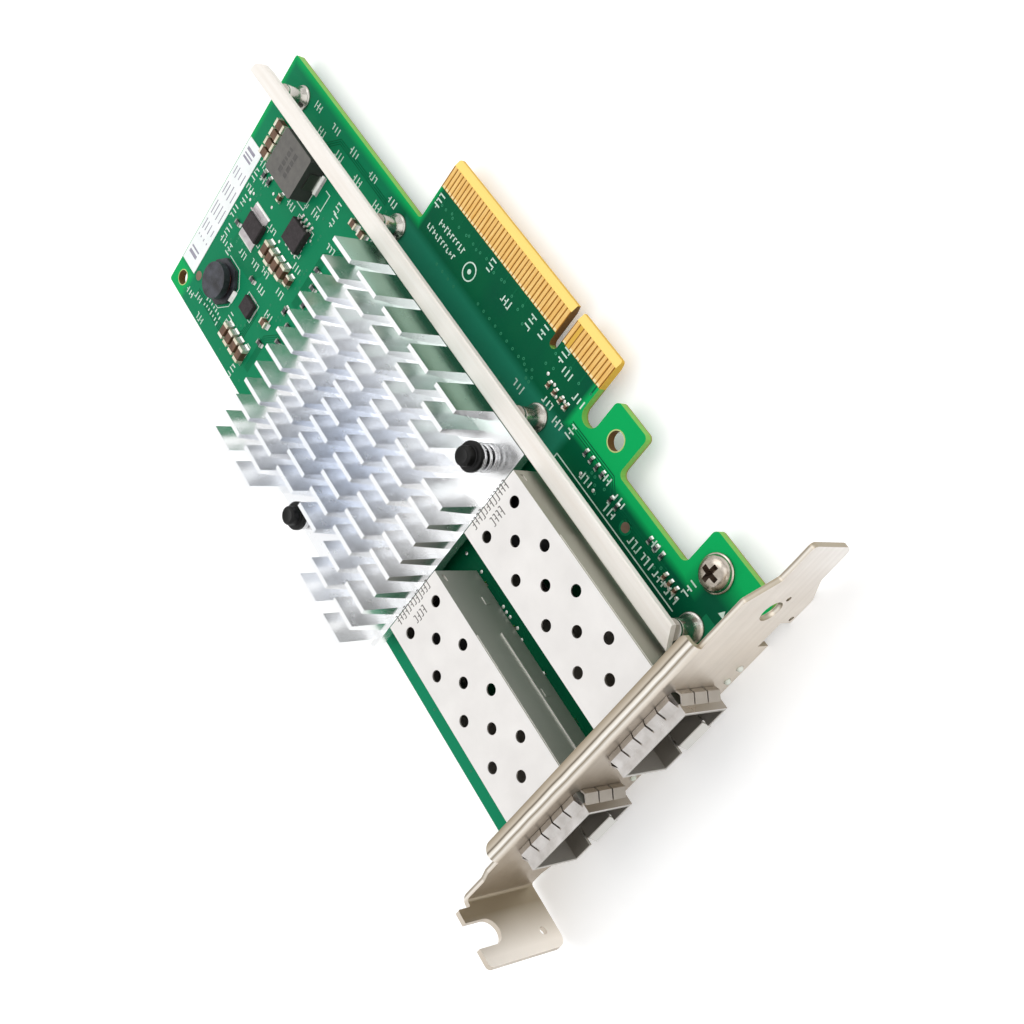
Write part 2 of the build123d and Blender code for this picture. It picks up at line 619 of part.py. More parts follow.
REAR_RESISTORS = (
    (36.25, 36.7, 1.6, 0.8, 0.5, "x"), (37.65, 39.8, 1.6, 0.8, 0.5, "x"),
    (37.85, 43.5, 1.6, 0.8, 0.5, "y"), (37.55, 49.5, 1.6, 0.8, 0.5, "x"),
    (37.55, 53.5, 1.6, 0.8, 0.5, "x"), (34.45, 48.0, 1.6, 0.8, 0.5, "y"),
    (22.25, 50.6, 1.6, 0.8, 0.5, "x"), (33.25, 57.4, 1.6, 0.8, 0.5, "x"),
    (11.85, 34.4, 1.6, 0.8, 0.5, "y"), (9.65, 34.4, 1.6, 0.8, 0.5, "y"),
    (10.05, 46.0, 1.6, 0.8, 0.5, "x"),
)
FRONT_RESISTORS = (
    (-17.6, 14.2, 1.0, 0.5, 0.35, "y"), (-19.2, 14.2, 1.0, 0.5, 0.35, "y"),
    (-20.8, 14.2, 1.0, 0.5, 0.35, "y"), (-22.4, 14.2, 1.0, 0.5, 0.35, "y"),
    (-26.4, 15.6, 1.0, 0.5, 0.35, "y"), (-28.0, 15.6, 1.0, 0.5, 0.35, "y"),
    (-36.0, 14.4, 1.0, 0.5, 0.35, "y"), (-37.6, 14.4, 1.0, 0.5, 0.35, "y"),
    (-39.2, 14.4, 1.0, 0.5, 0.35, "y"),
)


def placed(rear, front):
    """Both tables of a kind in board coordinates."""
    return [(BOARD_REAR - row[0], *row[1:]) for row in rear] + list(front)


CAPACITORS = placed(REAR_CAPACITORS, FRONT_CAPACITORS)
RESISTORS = placed(REAR_RESISTORS, FRONT_RESISTORS)
UNDER_CAPS = [(CHIP_CENTRE[0] + (i - 1.5) * 4.4, CHIP_CENTRE[1] + (j - 1.0) * 5.2,
               1.0, 0.5, 0.5, "x") for i in range(4) for j in range(3)]


def passives(name, ends, table, z_face=0):
    """Write the bodies and the ends of a table of chip parts as two nodes."""
    bodies = []
    caps = []
    for x, y, length, width, height, along in table:
        body, tips = end_caps(x, y, length, width, height, along, z_face)
        bodies.append(body)
        caps.extend(tips)
    group(name, bodies)
    group(ends, caps)


INDUCTOR = (BOARD_REAR - 24.05, BOARD_REAR - 13.55, SINK_Y0 + 0.2, SINK_Y0 + 9.3, 4.5)
INDUCTOR_CORNER = 0.4
CLIP_T = 0.2
CLIP_Y0 = SINK_Y0 + 2.9
CLIP_Y1 = SINK_Y0 + 6.3
CLIP_H = 3.2
CLIP_FOOT = 1.8


def power_inductor():
    """Moulded block resting on its two clips."""
    x0, x1, y0, y1, top = INDUCTOR
    body = block(x0, x1, y0, y1, CLIP_T, top)
    return chamfer(body.edges().filter_by(Axis.Z), INDUCTOR_CORNER)


def inductor_clips():
    """Terminal clips folded from the side of the block to its underside."""
    x0, x1, y0, y1, top = INDUCTOR
    clips = []
    for face, sign in ((x0, 1), (x1, -1)):
        clips.append(slab_y([
            (face - sign * CLIP_T, 0), (face + sign * CLIP_FOOT, 0),
            (face + sign * CLIP_FOOT, CLIP_T), (face, CLIP_T), (face, CLIP_H),
            (face - sign * CLIP_T, CLIP_H)], CLIP_Y0, CLIP_Y1))
    return clips


DRUM = (BOARD_REAR - 15.1, 57.0)
DRUM_BASE_W = 8.8
DRUM_BASE_H = 0.8
DRUM_CORNER = 2.4
DRUM_RIM_D = 7.4
DRUM_RIM_H = 1.5
DRUM_WAIST_D = 4.0
DRUM_WIRE_D = 6.6
DRUM_TOP = 2.7


def drum_base():
    """Octagonal terminal plate under the drum."""
    x, y = DRUM
    half = DRUM_BASE_W / 2
    plate = block(x - half, x + half, y - half, y + half, 0, DRUM_BASE_H)
    return chamfer(plate.edges().filter_by(Axis.Z), DRUM_CORNER)


def drum_core():
    """Round ferrite drum: waist and upper rim."""
    x, y = DRUM
    return (rod(x, y, DRUM_BASE_H, DRUM_TOP - DRUM_RIM_H / 2, DRUM_WAIST_D)
            + rod(x, y, DRUM_TOP - DRUM_RIM_H, DRUM_TOP, DRUM_RIM_D))


def drum_winding():
    """Copper winding round the waist."""
    x, y = DRUM
    ring = rod(x, y, DRUM_BASE_H, DRUM_TOP - DRUM_RIM_H, DRUM_WIRE_D)
    return ring - rod(x, y, DRUM_BASE_H, DRUM_TOP, DRUM_WAIST_D)


DIODE = (BOARD_REAR - 18.2, BOARD_REAR - 12.6, 41.1, 45.0, 0.2, 1.4)
DIODE_EDGE = 0.2
DIODE_LEAD_W = 5.8
DIODE_LEAD_SHIFT = 0.8
DIODE_LEAD_OUT = (1.3, 2.1)
DIODE_LEAD_UNDER = 1.0
DIODE_LEAD_T = 0.25
DIODE_LEAD_H = 0.8


def diode_terminals():
    """Flat folded terminals at both ends of the diode."""
    x0, x1, y0, y1, low, top = DIODE
    middle = (x0 + x1) / 2 + DIODE_LEAD_SHIFT
    made = []
    for y, sign, out in zip((y0, y1), (-1, 1), DIODE_LEAD_OUT):
        tip = y + sign * out
        knee = y + sign * DIODE_LEAD_T
        under = y - sign * DIODE_LEAD_UNDER
        made.append(slab_x([
            (under, 0), (tip, 0), (tip, low), (knee, low), (knee, DIODE_LEAD_H),
            (y, DIODE_LEAD_H), (y, low), (under, low)],
            middle - DIODE_LEAD_W / 2, middle + DIODE_LEAD_W / 2))
    return made


DRIVER = (BOARD_REAR - 29.5, BOARD_REAR - 24.2, 33.4, 38.4, 0.15, 1.6)
DRIVER_WAYS = 4
DRIVER_PITCH = 1.27
LEAD_OUT = 0.9
LEAD_KNEE = 0.45
LEAD_W = 0.45
LEAD_T = 0.18
SMALL_IC = (BOARD_REAR - 27.1, BOARD_REAR - 23.4, 53.4, 56.6, 0, 1.0)
MOULD_EDGE = 0.12


def chip_body(spec):
    """Moulded package with a slightly narrower top."""
    x0, x1, y0, y1, low, top = spec
    body = block(x0, x1, y0, y1, low, top)
    return chamfer(body.edges().group_by(Axis.Z)[-1], MOULD_EDGE)


def gull_leads(spec, count, pitch, out, width):
    """Gull-wing leads on both long sides of a package."""
    x0, x1, y0, y1, low, top = spec
    middle = (x0 + x1) / 2
    exit_z = (low + top) / 2
    t = LEAD_T
    made = []
    for i in range(count):
        x = middle + (i - (count - 1) / 2) * pitch
        for y, sign in ((y0, -1), (y1, 1)):
            knee = y + sign * out * LEAD_KNEE
            foot = y + sign * out
            made.append(slab_x([
                (y, exit_z), (knee, exit_z), (knee, t), (foot, t), (foot, 0),
                (knee - sign * t, 0), (knee - sign * t, exit_z - t), (y, exit_z - t)],
                x - width / 2, x + width / 2))
    return made


LABEL = (BOARD_REAR - 5.95, BOARD_REAR - 0.25, BOARD_TOP - 36.6, BOARD_TOP - 6.1, 0.1)


def main():
    single("circuit_board", board())
    group("edge_contacts_component_side", contacts(0, PAD_T, (UNUSED_PAD,), ()))
    group("edge_contacts_solder_side", contacts(SOLDER - PAD_T, SOLDER, (), (1,)))
    single("bracket", bracket())
    group("bracket_screws", [bracket_screw(x, y).solid() for x, y in BRACKET_SCREWS])
    single("stiffener_bar", stiffener_bar())
    group("stiffener_posts", [post(x).solid() for x in POSTS])
    single("heat_sink", heat_sink())
    cx, cy = CHIP_CENTRE
    half = CHIP_W / 2
    single("controller_chip", block(cx - half, cx + half, cy - half, cy + half, 0, CHIP_T))
    half = LID_W / 2
    lid_top = CHIP_T + LID_T
    single("controller_lid", block(cx - half, cx + half, cy - half, cy + half, CHIP_T, lid_top))
    single("thermal_pad", block(cx - half, cx + half, cy - half, cy + half, lid_top, SINK_Z0))
    group("push_pins", [push_pin(x, y).solid() for x, y in PINS])
    group("push_pin_springs", [spring(x, y).solid() for x, y in PINS])
    for letter, centre in zip("ab", CAGE_Y):
        single("cage_%s" % letter, cage(centre))
        single("spring_collar_%s" % letter, collar(centre))
        single("transceiver_socket_%s" % letter, socket(centre))
        group("socket_contacts_%s" % letter, socket_contacts(centre))
    group("status_lights", [block(BOARD_FRONT, BOARD_FRONT + LED_L, y - LED_W / 2,
                                  y + LED_W / 2, SOLDER - LED_H, SOLDER) for y in LED_Y])
    single("power_inductor", power_inductor())
    group("power_inductor_clips", inductor_clips())
    single("drum_inductor_base", drum_base())
    single("drum_inductor_core", drum_core())
    single("drum_inductor_winding", drum_winding())
    x0, x1, y0, y1, low, top = DIODE
    diode = block(x0, x1, y0, y1, low, top)
    single("rectifier_diode", chamfer(diode.edges().group_by(Axis.Z)[-1], DIODE_EDGE))
    group("rectifier_terminals", diode_terminals())
    single("driver_chip", chip_body(DRIVER))
    group("driver_chip_leads", gull_leads(DRIVER, DRIVER_WAYS, DRIVER_PITCH, LEAD_OUT, LEAD_W))
    single("timing_chip", chip_body(SMALL_IC))
    passives("ceramic_capacitors", "capacitor_ends", CAPACITORS)
    passives("chip_resistors", "resistor_ends", RESISTORS)
    passives("solder_side_capacitors", "solder_side_capacitor_ends", UNDER_CAPS, SOLDER)
    x0, x1, y0, y1, thick = LABEL
    single("rear_label", block(x0, x1, y0, y1, 0, thick))


main()
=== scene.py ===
"""Looks of a low-profile network interface card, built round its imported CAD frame.

Lengths are written in millimetres and turned to metres by MM.  The frame is the card's own:
+X from the bracket to the rear end, +Y from the contact edge to the top edge, +Z out of the
component face, z = 0 on that face.
"""
import math
import random

import bmesh
import bpy
from mathutils import Matrix, Vector


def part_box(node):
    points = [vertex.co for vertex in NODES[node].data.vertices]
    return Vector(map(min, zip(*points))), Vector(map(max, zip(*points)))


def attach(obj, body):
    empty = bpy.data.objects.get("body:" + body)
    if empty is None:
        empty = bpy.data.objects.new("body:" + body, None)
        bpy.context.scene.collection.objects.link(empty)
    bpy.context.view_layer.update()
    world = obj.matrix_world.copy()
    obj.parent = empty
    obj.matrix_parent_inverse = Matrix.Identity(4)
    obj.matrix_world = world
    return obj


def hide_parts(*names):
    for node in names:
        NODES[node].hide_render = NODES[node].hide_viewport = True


MM = 0.001
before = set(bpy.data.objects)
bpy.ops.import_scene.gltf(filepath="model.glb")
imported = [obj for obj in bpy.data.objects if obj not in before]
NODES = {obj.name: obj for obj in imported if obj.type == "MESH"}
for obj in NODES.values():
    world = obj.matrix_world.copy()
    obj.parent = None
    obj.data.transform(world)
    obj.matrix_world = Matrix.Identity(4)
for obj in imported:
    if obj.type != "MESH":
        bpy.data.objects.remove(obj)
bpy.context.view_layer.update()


def span(node):
    """Lowest and highest corner of a CAD node, in millimetres."""
    low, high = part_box(node)
    return low / MM, high / MM


# The card's own places, read from the frame

BOARD_LOW, BOARD_HIGH = span("circuit_board")
FRONT_X, SOLDER_Z = BOARD_LOW.x, BOARD_LOW.z
REAR_X, TOP_Y, FACE_Z = BOARD_HIGH
PAD_TOP_Y = span("edge_contacts_component_side")[1].y
SINK_Y = span("heat_sink")[0].y
CAGES = [span("cage_a"), span("cage_b")]
LOWEST_Z = min(span("bracket")[0].z, span("push_pins")[0].z)

# Places that the frame's boxes don't give

EDGE_Y = 12.9             # board edge on both sides of the contact tongue
TONGUE_X = (-12.15, 39.15)
NOTCH_X = -42.8           # where the board's foot by the bracket ends
PAD_PITCH = 1.0
HOOK_HOLE = (-20.4, 8.9, 3.2)      # centre and diameter
REAR_HOLE = (REAR_X - 3.45, TOP_Y - 3.1, 3.0)
SHEET_FRONT_X = -59.2     # outer face of the bracket


def ink(code):
    """Linear colour of an sRGB hex value."""
    parts = [int(code[i:i + 2], 16) / 255 for i in (1, 3, 5)]
    return [p / 12.92 if p <= 0.04045 else ((p + 0.055) / 1.055) ** 2.4 for p in parts] + [1.0]


def add(tree, kind, inputs=None, **settings):
    """Adds a node, sets its properties and feeds its inputs from sockets or plain values."""
    made = tree.nodes.new(kind)
    for key, value in settings.items():
        setattr(made, key, value)
    for key, value in (inputs or {}).items():
        if isinstance(value, bpy.types.NodeSocket):
            tree.links.new(value, made.inputs[key])
        else:
            made.inputs[key].default_value = value
    return made


# Sockets of a colour Mix node
MIX_A, MIX_B, MIX_OUT = 6, 7, 2


def surface(name, colour, metallic, roughness, **sockets):
    """A material with one principled shader, and the card's own coordinates to pattern it by."""
    material = bpy.data.materials.new(name)
    material.use_nodes = True
    tree = material.node_tree
    tree.nodes.clear()
    shader = add(tree, "ShaderNodeBsdfPrincipled",
                 {"Base Color": ink(colour), "Metallic": metallic, "Roughness": roughness})
    for key, value in sockets.items():
        shader.inputs[key.replace("_", " ")].default_value = value
    add(tree, "ShaderNodeOutputMaterial", {"Surface": shader.outputs["BSDF"]})
    place = add(tree, "ShaderNodeTexCoord").outputs["Object"]
    return material, tree, shader, place


def grain(tree, place, size, low, high, stretch=(1, 1, 1), detail=4.0):
    """Noise with features of a real size in mm, spread between two values."""
    turned = add(tree, "ShaderNodeVectorMath", {0: place, 1: stretch}, operation="MULTIPLY")
    noise = add(tree, "ShaderNodeTexNoise",
                {"Vector": turned.outputs[0], "Scale": 1 / (size * MM), "Detail": detail})
    spread = add(tree, "ShaderNodeMapRange",
                 {"Value": noise.outputs["Fac"], "From Min": 0.3, "From Max": 0.7,
                  "To Min": low, "To Max": high})
    return spread.outputs["Result"]


def layered(tree, base, *layers):
    """A colour with others laid over it in turn, each given as (how much, colour)."""
    tone = base
    for amount, over in layers:
        below, above = [ink(c) if isinstance(c, str) else c for c in (tone, over)]
        mix = add(tree, "ShaderNodeMix", {0: amount, MIX_A: below, MIX_B: above},
                  data_type="RGBA")
        tone = mix.outputs[MIX_OUT]
    return tone


def apply_finish(tree, shader, colour, height, depth, gloss=None):
    """Gives a shader its colour, a relief of a real depth in mm from a height of 0 to 1, and its
    roughness where that wanders."""
    bump = add(tree, "ShaderNodeBump",
               {"Height": height, "Distance": depth * MM, "Strength": 1.0})
    tree.links.new(colour, shader.inputs["Base Color"])
    tree.links.new(bump.outputs["Normal"], shader.inputs["Normal"])
    if gloss is not None:
        tree.links.new(gloss, shader.inputs["Roughness"])


# Width of the colour patches and of the gloss patches of a finish, in grains
PATCH_GRAINS = 12
GLOSS_GRAINS = 5


def worn(name, colour, shade, metallic, roughness, size, depth, stretch=(1, 1, 1), **sockets):
    """A finish whose colour, gloss and relief wander together over a grain of a real size."""
    material, tree, shader, place = surface(name, colour, metallic, roughness, **sockets)
    patches = grain(tree, place, size * PATCH_GRAINS, 0, 1, stretch)
    gloss = grain(tree, place, size * GLOSS_GRAINS, roughness * 0.85, min(1, roughness * 1.2),
                  stretch)
    apply_finish(tree, shader, layered(tree, colour, (patches, shade)),
                 grain(tree, place, size, 0, 1, stretch), depth, gloss)
    return material


def inside_box(tree, xy, box, soft):
    """1 inside a rectangle of the board, falling to 0 over a soft margin, both in mm."""
    x0, x1, y0, y1 = box
    middle = Vector(((x0 + x1) / 2, (y0 + y1) / 2, 0)) * MM
    half = Vector(((x1 - x0) / 2, (y1 - y0) / 2, 0)) * MM
    shifted = add(tree, "ShaderNodeVectorMath", {0: xy, 1: middle}, operation="SUBTRACT")
    folded = add(tree, "ShaderNodeVectorMath", {0: shifted.outputs[0]}, operation="ABSOLUTE")
    past = add(tree, "ShaderNodeVectorMath", {0: folded.outputs[0], 1: half},
               operation="SUBTRACT")
    axes = add(tree, "ShaderNodeSeparateXYZ", {0: past.outputs[0]})
    worst = add(tree, "ShaderNodeMath", {0: axes.outputs["X"], 1: axes.outputs["Y"]},
                operation="MAXIMUM")
    spread = add(tree, "ShaderNodeMapRange",
                 {"Value": worst.outputs[0], "From Min": -soft * MM, "From Max": soft * MM,
                  "To Min": 1.0, "To Max": 0.0})
    return spread.outputs["Result"]


MASK_DARK = "#005C38"        # mask over the inner copper planes
MASK_DEEP = "#004E36"
MASK_OPEN = "#08A659"        # margins and tabs with no copper inside
MASK_POWER = "#127E55"       # rear end, where the laminate shows through more
MASK_STRIP = "#227C60"       # strip between the bar and the heat sink
MASK_RIM = "#14875F"         # along the top edge, past the inner planes
MASK_EDGE = "#86C45C"        # routed edges
MASK_EDGE_LOW = "#A58A4A"    # the same edges near the solder side
LAMINATE = "#DDB04C"         # bare glass-epoxy between the contacts
LAMINATE_GAP = "#8A5A24"     # shaded middle of each gap
LAMINATE_BEVEL = "#FFDF80"
LAMINATE_EDGE = "#E2B548"    # sides of the contact tongue
LAMINATE_WALL_SHADED = "#7A5A32"    # drilled and slotted walls: brown laminate, darkened as painted shade

# Where the inner copper planes lie, as x0, x1, y0, y1 and a soft margin
PLANES = (
    ((FRONT_X + 0.6, REAR_X - 0.8, EDGE_Y + 1.0, TOP_Y + 2), 0.7),
    ((TONGUE_X[0] + 1.1, TONGUE_X[1] - 0.5, PAD_TOP_Y - 1.0, EDGE_Y + 4), 0.6),
    ((FRONT_X - 4, NOTCH_X - 3.2, EDGE_Y - 3.6, EDGE_Y + 6), 2.2),
)
# Parts of the planes that have a tone of their own
TONED = (
    ((46.0, REAR_X + 4, EDGE_Y - 1, TOP_Y + 4), 4.0, MASK_POWER),
    ((-13.0, 42.0, 14.8, 21.0), 0.8, MASK_STRIP),
    ((FRONT_X - 4, 46.0, TOP_Y - 3.0, TOP_Y + 3.0), 0.8, MASK_RIM),
)
BARE_CORNER = (REAR_HOLE[0] - 2.6, REAR_X + 4, REAR_HOLE[1] - 2.6, TOP_Y + 4)
# Holes and the key slot, each as its centre and how far its walls lie from that in X and Y
WALLED = ((*HOOK_HOLE[:2], 1.9, 1.9), (*REAR_HOLE[:2], 1.8, 1.8), (0, 4.0, 1.3, 3.9))
GAP_HALF = 0.1               # half the width of the shaded gap between two contacts
CLOTH_PITCH = 0.6            # the glass cloth is woven at about 0.5 mm and drawn a little coarser


def masked_laminate():
    """Green solder mask, printed and cured over glass-epoxy: deep green where the inner copper
    planes lie, clear bright green along the margins that have no copper, yellow-green at the routed
    edges, brown laminate darkened with painted shade in the drilled holes and the key slot, and
    golden laminate on the contact tongue."""
    material, tree, shader, place = surface("solder_mask_on_glass_epoxy", MASK_DARK, 0.0, 0.42,
                                            IOR=1.5, Specular_IOR_Level=0.07)
    covered = 0.0
    for box, soft in PLANES:
        covered = add(tree, "ShaderNodeMath", {0: covered, 1: inside_box(tree, place, box, soft)},
                      operation="MAXIMUM").outputs[0]
    corner = inside_box(tree, place, BARE_CORNER, 0.7)
    planes_end = add(tree, "ShaderNodeMath", {0: 1.0, 1: corner}, operation="SUBTRACT").outputs[0]
    covered = add(tree, "ShaderNodeMath", {0: covered, 1: planes_end},
                  operation="MINIMUM").outputs[0]
    copper = layered(tree, MASK_DARK, (grain(tree, place, 14.0, 0, 1), MASK_DEEP),
                     *[(inside_box(tree, place, box, soft), tone) for box, soft, tone in TONED])
    mask = layered(tree, MASK_OPEN, (covered, copper))
    # on the tongue the laminate is bare between and below the contacts
    across = add(tree, "ShaderNodeSeparateXYZ", {0: place}).outputs["X"]
    to_gap = add(tree, "ShaderNodeMath", {0: across, 1: 0.5 * PAD_PITCH * MM},
                 operation="PINGPONG").outputs[0]
    in_gap = add(tree, "ShaderNodeMath", {0: to_gap, 1: GAP_HALF * MM},
                 operation="LESS_THAN").outputs[0]
    flatness = turned_to(tree, "Z")
    flat, wall = [add(tree, "ShaderNodeMath", {0: flatness, 1: limit},
                      operation=operation).outputs[0]
                  for limit, operation in ((0.985, "GREATER_THAN"), (0.5, "LESS_THAN"))]
    tongue = inside_box(tree, place, (TONGUE_X[0] - 1, TONGUE_X[1] + 1, -1, PAD_TOP_Y + 0.1), 0.02)
    bare = layered(tree, LAMINATE, (in_gap, LAMINATE_GAP))
    bare = layered(tree, LAMINATE_BEVEL, (flat, bare))
    # holes and key slot: brown laminate darkened as painted shade
    holes = [(inside_box(tree, place, (x - reach, x + reach, y - rise, y + rise), 0.1),
              LAMINATE_WALL_SHADED) for x, y, reach, rise in WALLED]
    walls = layered(tree, MASK_EDGE_LOW,
                    (ramp(tree, place, "Z", SOLDER_Z, SOLDER_Z + 0.5), MASK_EDGE),
                    (tongue, LAMINATE_EDGE), *holes)
    tone = layered(tree, mask, (tongue, bare), (wall, walls))
    cloth = [add(tree, "ShaderNodeTexWave",
                 {"Vector": place, "Scale": 2 * math.pi / (20 * CLOTH_PITCH * MM)},
                 bands_direction=axis).outputs["Fac"] for axis in "XY"]
    weave = add(tree, "ShaderNodeMath", {0: cloth[0], 1: cloth[1]},
                operation="MULTIPLY").outputs[0]
    height = add(tree, "ShaderNodeMath", {0: grain(tree, place, 0.9, 0, 1), 1: weave},
                 operation="ADD").outputs[0]
    apply_finish(tree, shader, tone, height, 0.003, grain(tree, place, 3.0, 0.38, 0.5))
    return material


def mask_on_copper(name, colour, shade):
    """Solder mask where it rides up over copper tracks and pours: the same green, a touch
    thinner and paler on the raised lines."""
    return worn(name, colour, shade, 0.0, 0.42, 0.6, 0.002, IOR=1.5, Specular_IOR_Level=0.07)


def hard_gold():
    """Electroplated hard gold on the edge contacts: warm peach gold, wiped in streaks along the
    way the card is pushed in, paler where the mask edge has bled over each contact's end."""
    material, tree, shader, place = surface("electroplated_hard_gold", "#F6CC82", 0.85, 0.34)
    streaks = grain(tree, place, 0.12, 0, 1, (1, 0.04, 1))
    bled = ramp(tree, place, "Y", PAD_TOP_Y - 0.5, PAD_TOP_Y - 0.2)
    tone = layered(tree, "#FAD58C", (streaks, "#E6B05C"), (bled, "#F6E2B2"))
    apply_finish(tree, shader, tone, streaks, 0.0015,
                 grain(tree, place, 0.4, 0.28, 0.42, (1, 0.1, 1)))
    return material


def turned_to(tree, axis):
    """1 on faces that lie square to an axis, 0 on faces along it."""
    facing = add(tree, "ShaderNodeNewGeometry").outputs["Normal"]
    part = add(tree, "ShaderNodeSeparateXYZ", {0: facing}).outputs[axis]
    return add(tree, "ShaderNodeMath", {0: part}, operation="ABSOLUTE").outputs[0]


def ramp(tree, place, axis, start, end):
    """0 to 1 along an axis of the card between two places in mm."""
    along = add(tree, "ShaderNodeSeparateXYZ", {0: place}).outputs[axis]
    spread = add(tree, "ShaderNodeMapRange",
                 {"Value": along, "From Min": start * MM, "From Max": end * MM})
    return spread.outputs["Result"]


# Painted highlights and painted shade in bands along the bend and flange, from the bend's start (0)
# to the flange's edge (1)
FLANGE_EDGE_X = -56.3
FLANGE_PAINTED_BANDS = ((0.0, "#D2C7B8"), (0.16, "#EFE8DE"), (0.27, "#8F826E"), (0.38, "#FFFBF4"),
                (0.5, "#EAE2D6"), (0.6, "#6A5F4E"), (0.7, "#CBC0B0"), (0.86, "#B7AA97"),
                (1.0, "#9C8F7B"))


def nickel_plate():
    """Nickel-plated cold-rolled steel: warm grey, satin from the rolling, with painted highlights
    and painted shade in bands along the bend and flange, painted shade greying it towards the screw
    tab, painted shade on the faces turned to Y that is dark at the tab's bend and lighter towards
    its end, faintly clouded."""
    material, tree, shader, place = surface("nickel_plated_cold_rolled_steel", "#C9BFB2", 0.8,
                                            0.34)
    across = add(tree, "ShaderNodeSeparateXYZ", {0: place}).outputs["X"]
    waver = add(tree, "ShaderNodeMath", {0: across, 1: grain(tree, place, 9.0, 0, 0.15 * MM)},
                operation="ADD").outputs[0]
    on_flange = add(tree, "ShaderNodeMapRange", {"Value": waver, "From Min": SHEET_FRONT_X * MM,
                                                 "From Max": FLANGE_EDGE_X * MM})
    # painted highlights and painted shade in bands along the bend and flange
    pressed = add(tree, "ShaderNodeValToRGB", {"Fac": on_flange.outputs["Result"]})
    stops = pressed.color_ramp.elements
    for stop, _ in FLANGE_PAINTED_BANDS[1:-1]:
        stops.new(stop)
    for element, (_, shade) in zip(stops, FLANGE_PAINTED_BANDS):
        element.color = ink(shade)
    bent = add(tree, "ShaderNodeMapRange",
               {"Value": turned_to(tree, "Z"), "From Min": 0.15, "From Max": 0.6})
    # painted shade on faces turned to Y, the screw tab among them: dark at its bend, lighter
    # towards its end
    tab = layered(tree, "#A0947E", (ramp(tree, place, "X", -62.0, -69.0), "#FDF6EC"))
    # painted shade: pale at the front, greying along Y towards the screw tab
    tone = layered(tree, "#F4F0EC",
                   (ramp(tree, place, "Y", -8.0, 12.0), "#E8DFD3"),
                   (ramp(tree, place, "Y", 10.0, 40.0), "#B3A797"),
                   (grain(tree, place, 1.0, 0, 0.12, (1, 0.02, 1), 1.5), "#8C806D"),
                   (grain(tree, place, 8.0, 0, 0.4, detail=3.0), "#C8BEB1"),
                   (bent.outputs["Result"], pressed.outputs["Color"]),
                   (turned_to(tree, "Y"), tab))
    rolled = grain(tree, place, 0.25, 0, 1, (1, 0.03, 1))
    apply_finish(tree, shader, tone, rolled, 0.0007, grain(tree, place, 2.5, 0.3, 0.42))
    return material


def spring_tin():
    """Tin-plated spring bronze, blanked into fingers: cooler grey than the bracket, clouded, with
    painted shade on the faces turned to Y."""
    material, tree, shader, place = surface("tin_plated_spring_bronze", "#CFCBC8", 0.9, 0.3)
    # painted shade on the faces turned to Y
    tone = layered(tree, "#D9D5D2", (grain(tree, place, 2.0, 0, 1, detail=3.0), "#BDB8B3"),
                   (turned_to(tree, "Y"), "#A39B8F"))
    apply_finish(tree, shader, tone, grain(tree, place, 0.15, 0, 1, (0.05, 1, 1)), 0.001,
                 grain(tree, place, 1.5, 0.26, 0.4))
    return material


CAGE_SKIN = 0.15          # half the cage sheet: what lies deeper is the inside of a cage


def tin_plate():
    """Tin-plated copper alloy sheet, pressed into the cages: pale on top, with olive-grey painted
    shade down the wall by the bar, a lighter painted shade and less metal on the walls between the
    two cages, dark painted shade inside, soft from the rolls, with finger clouds."""
    material, tree, shader, place = surface("tin_plated_pressed_sheet", "#E2DFDC", 0.9, 0.38)
    level = turned_to(tree, "Z")
    middle_a = (CAGES[0][0].y + CAGES[0][1].y) / 2
    between = ramp(tree, place, "Y", middle_a, middle_a + 1.0)
    top = layered(tree, "#F2EFEC", (grain(tree, place, 7.0, 0, 1, detail=3.0), "#E8E5E2"))
    axes = add(tree, "ShaderNodeSeparateXYZ", {0: place})
    section = add(tree, "ShaderNodeCombineXYZ", {"X": axes.outputs["Y"], "Y": axes.outputs["Z"]})
    # the insides of the cages, which take a dark painted shade
    shaded_insides = [(low.y + CAGE_SKIN, high.y - CAGE_SKIN, CAGE_SKIN, high.z - CAGE_SKIN)
                for low, high in CAGES]
    # painted shade: olive-grey down the upright walls, lighter on the walls between the cages; the
    # tops keep the pale tin
    tone = layered(tree, "#A2A297", (between, "#B4B6AD"), (level, top),
                   *[(inside_box(tree, section.outputs[0], opening, 0.04), "#A09B93")
                     for opening in shaded_insides])
    upright = add(tree, "ShaderNodeMath", {0: 1.0, 1: level}, operation="SUBTRACT").outputs[0]
    dull = add(tree, "ShaderNodeMath", {0: upright, 1: between}, operation="MULTIPLY").outputs[0]
    metal = add(tree, "ShaderNodeMapRange", {"Value": dull, "To Min": 0.9, "To Max": 0.35})
    tree.links.new(metal.outputs["Result"], shader.inputs["Metallic"])
    apply_finish(tree, shader, tone, grain(tree, place, 0.2, 0, 1, (0.03, 1, 1)), 0.001,
                 grain(tree, place, 3.0, 0.34, 0.44))
    return material


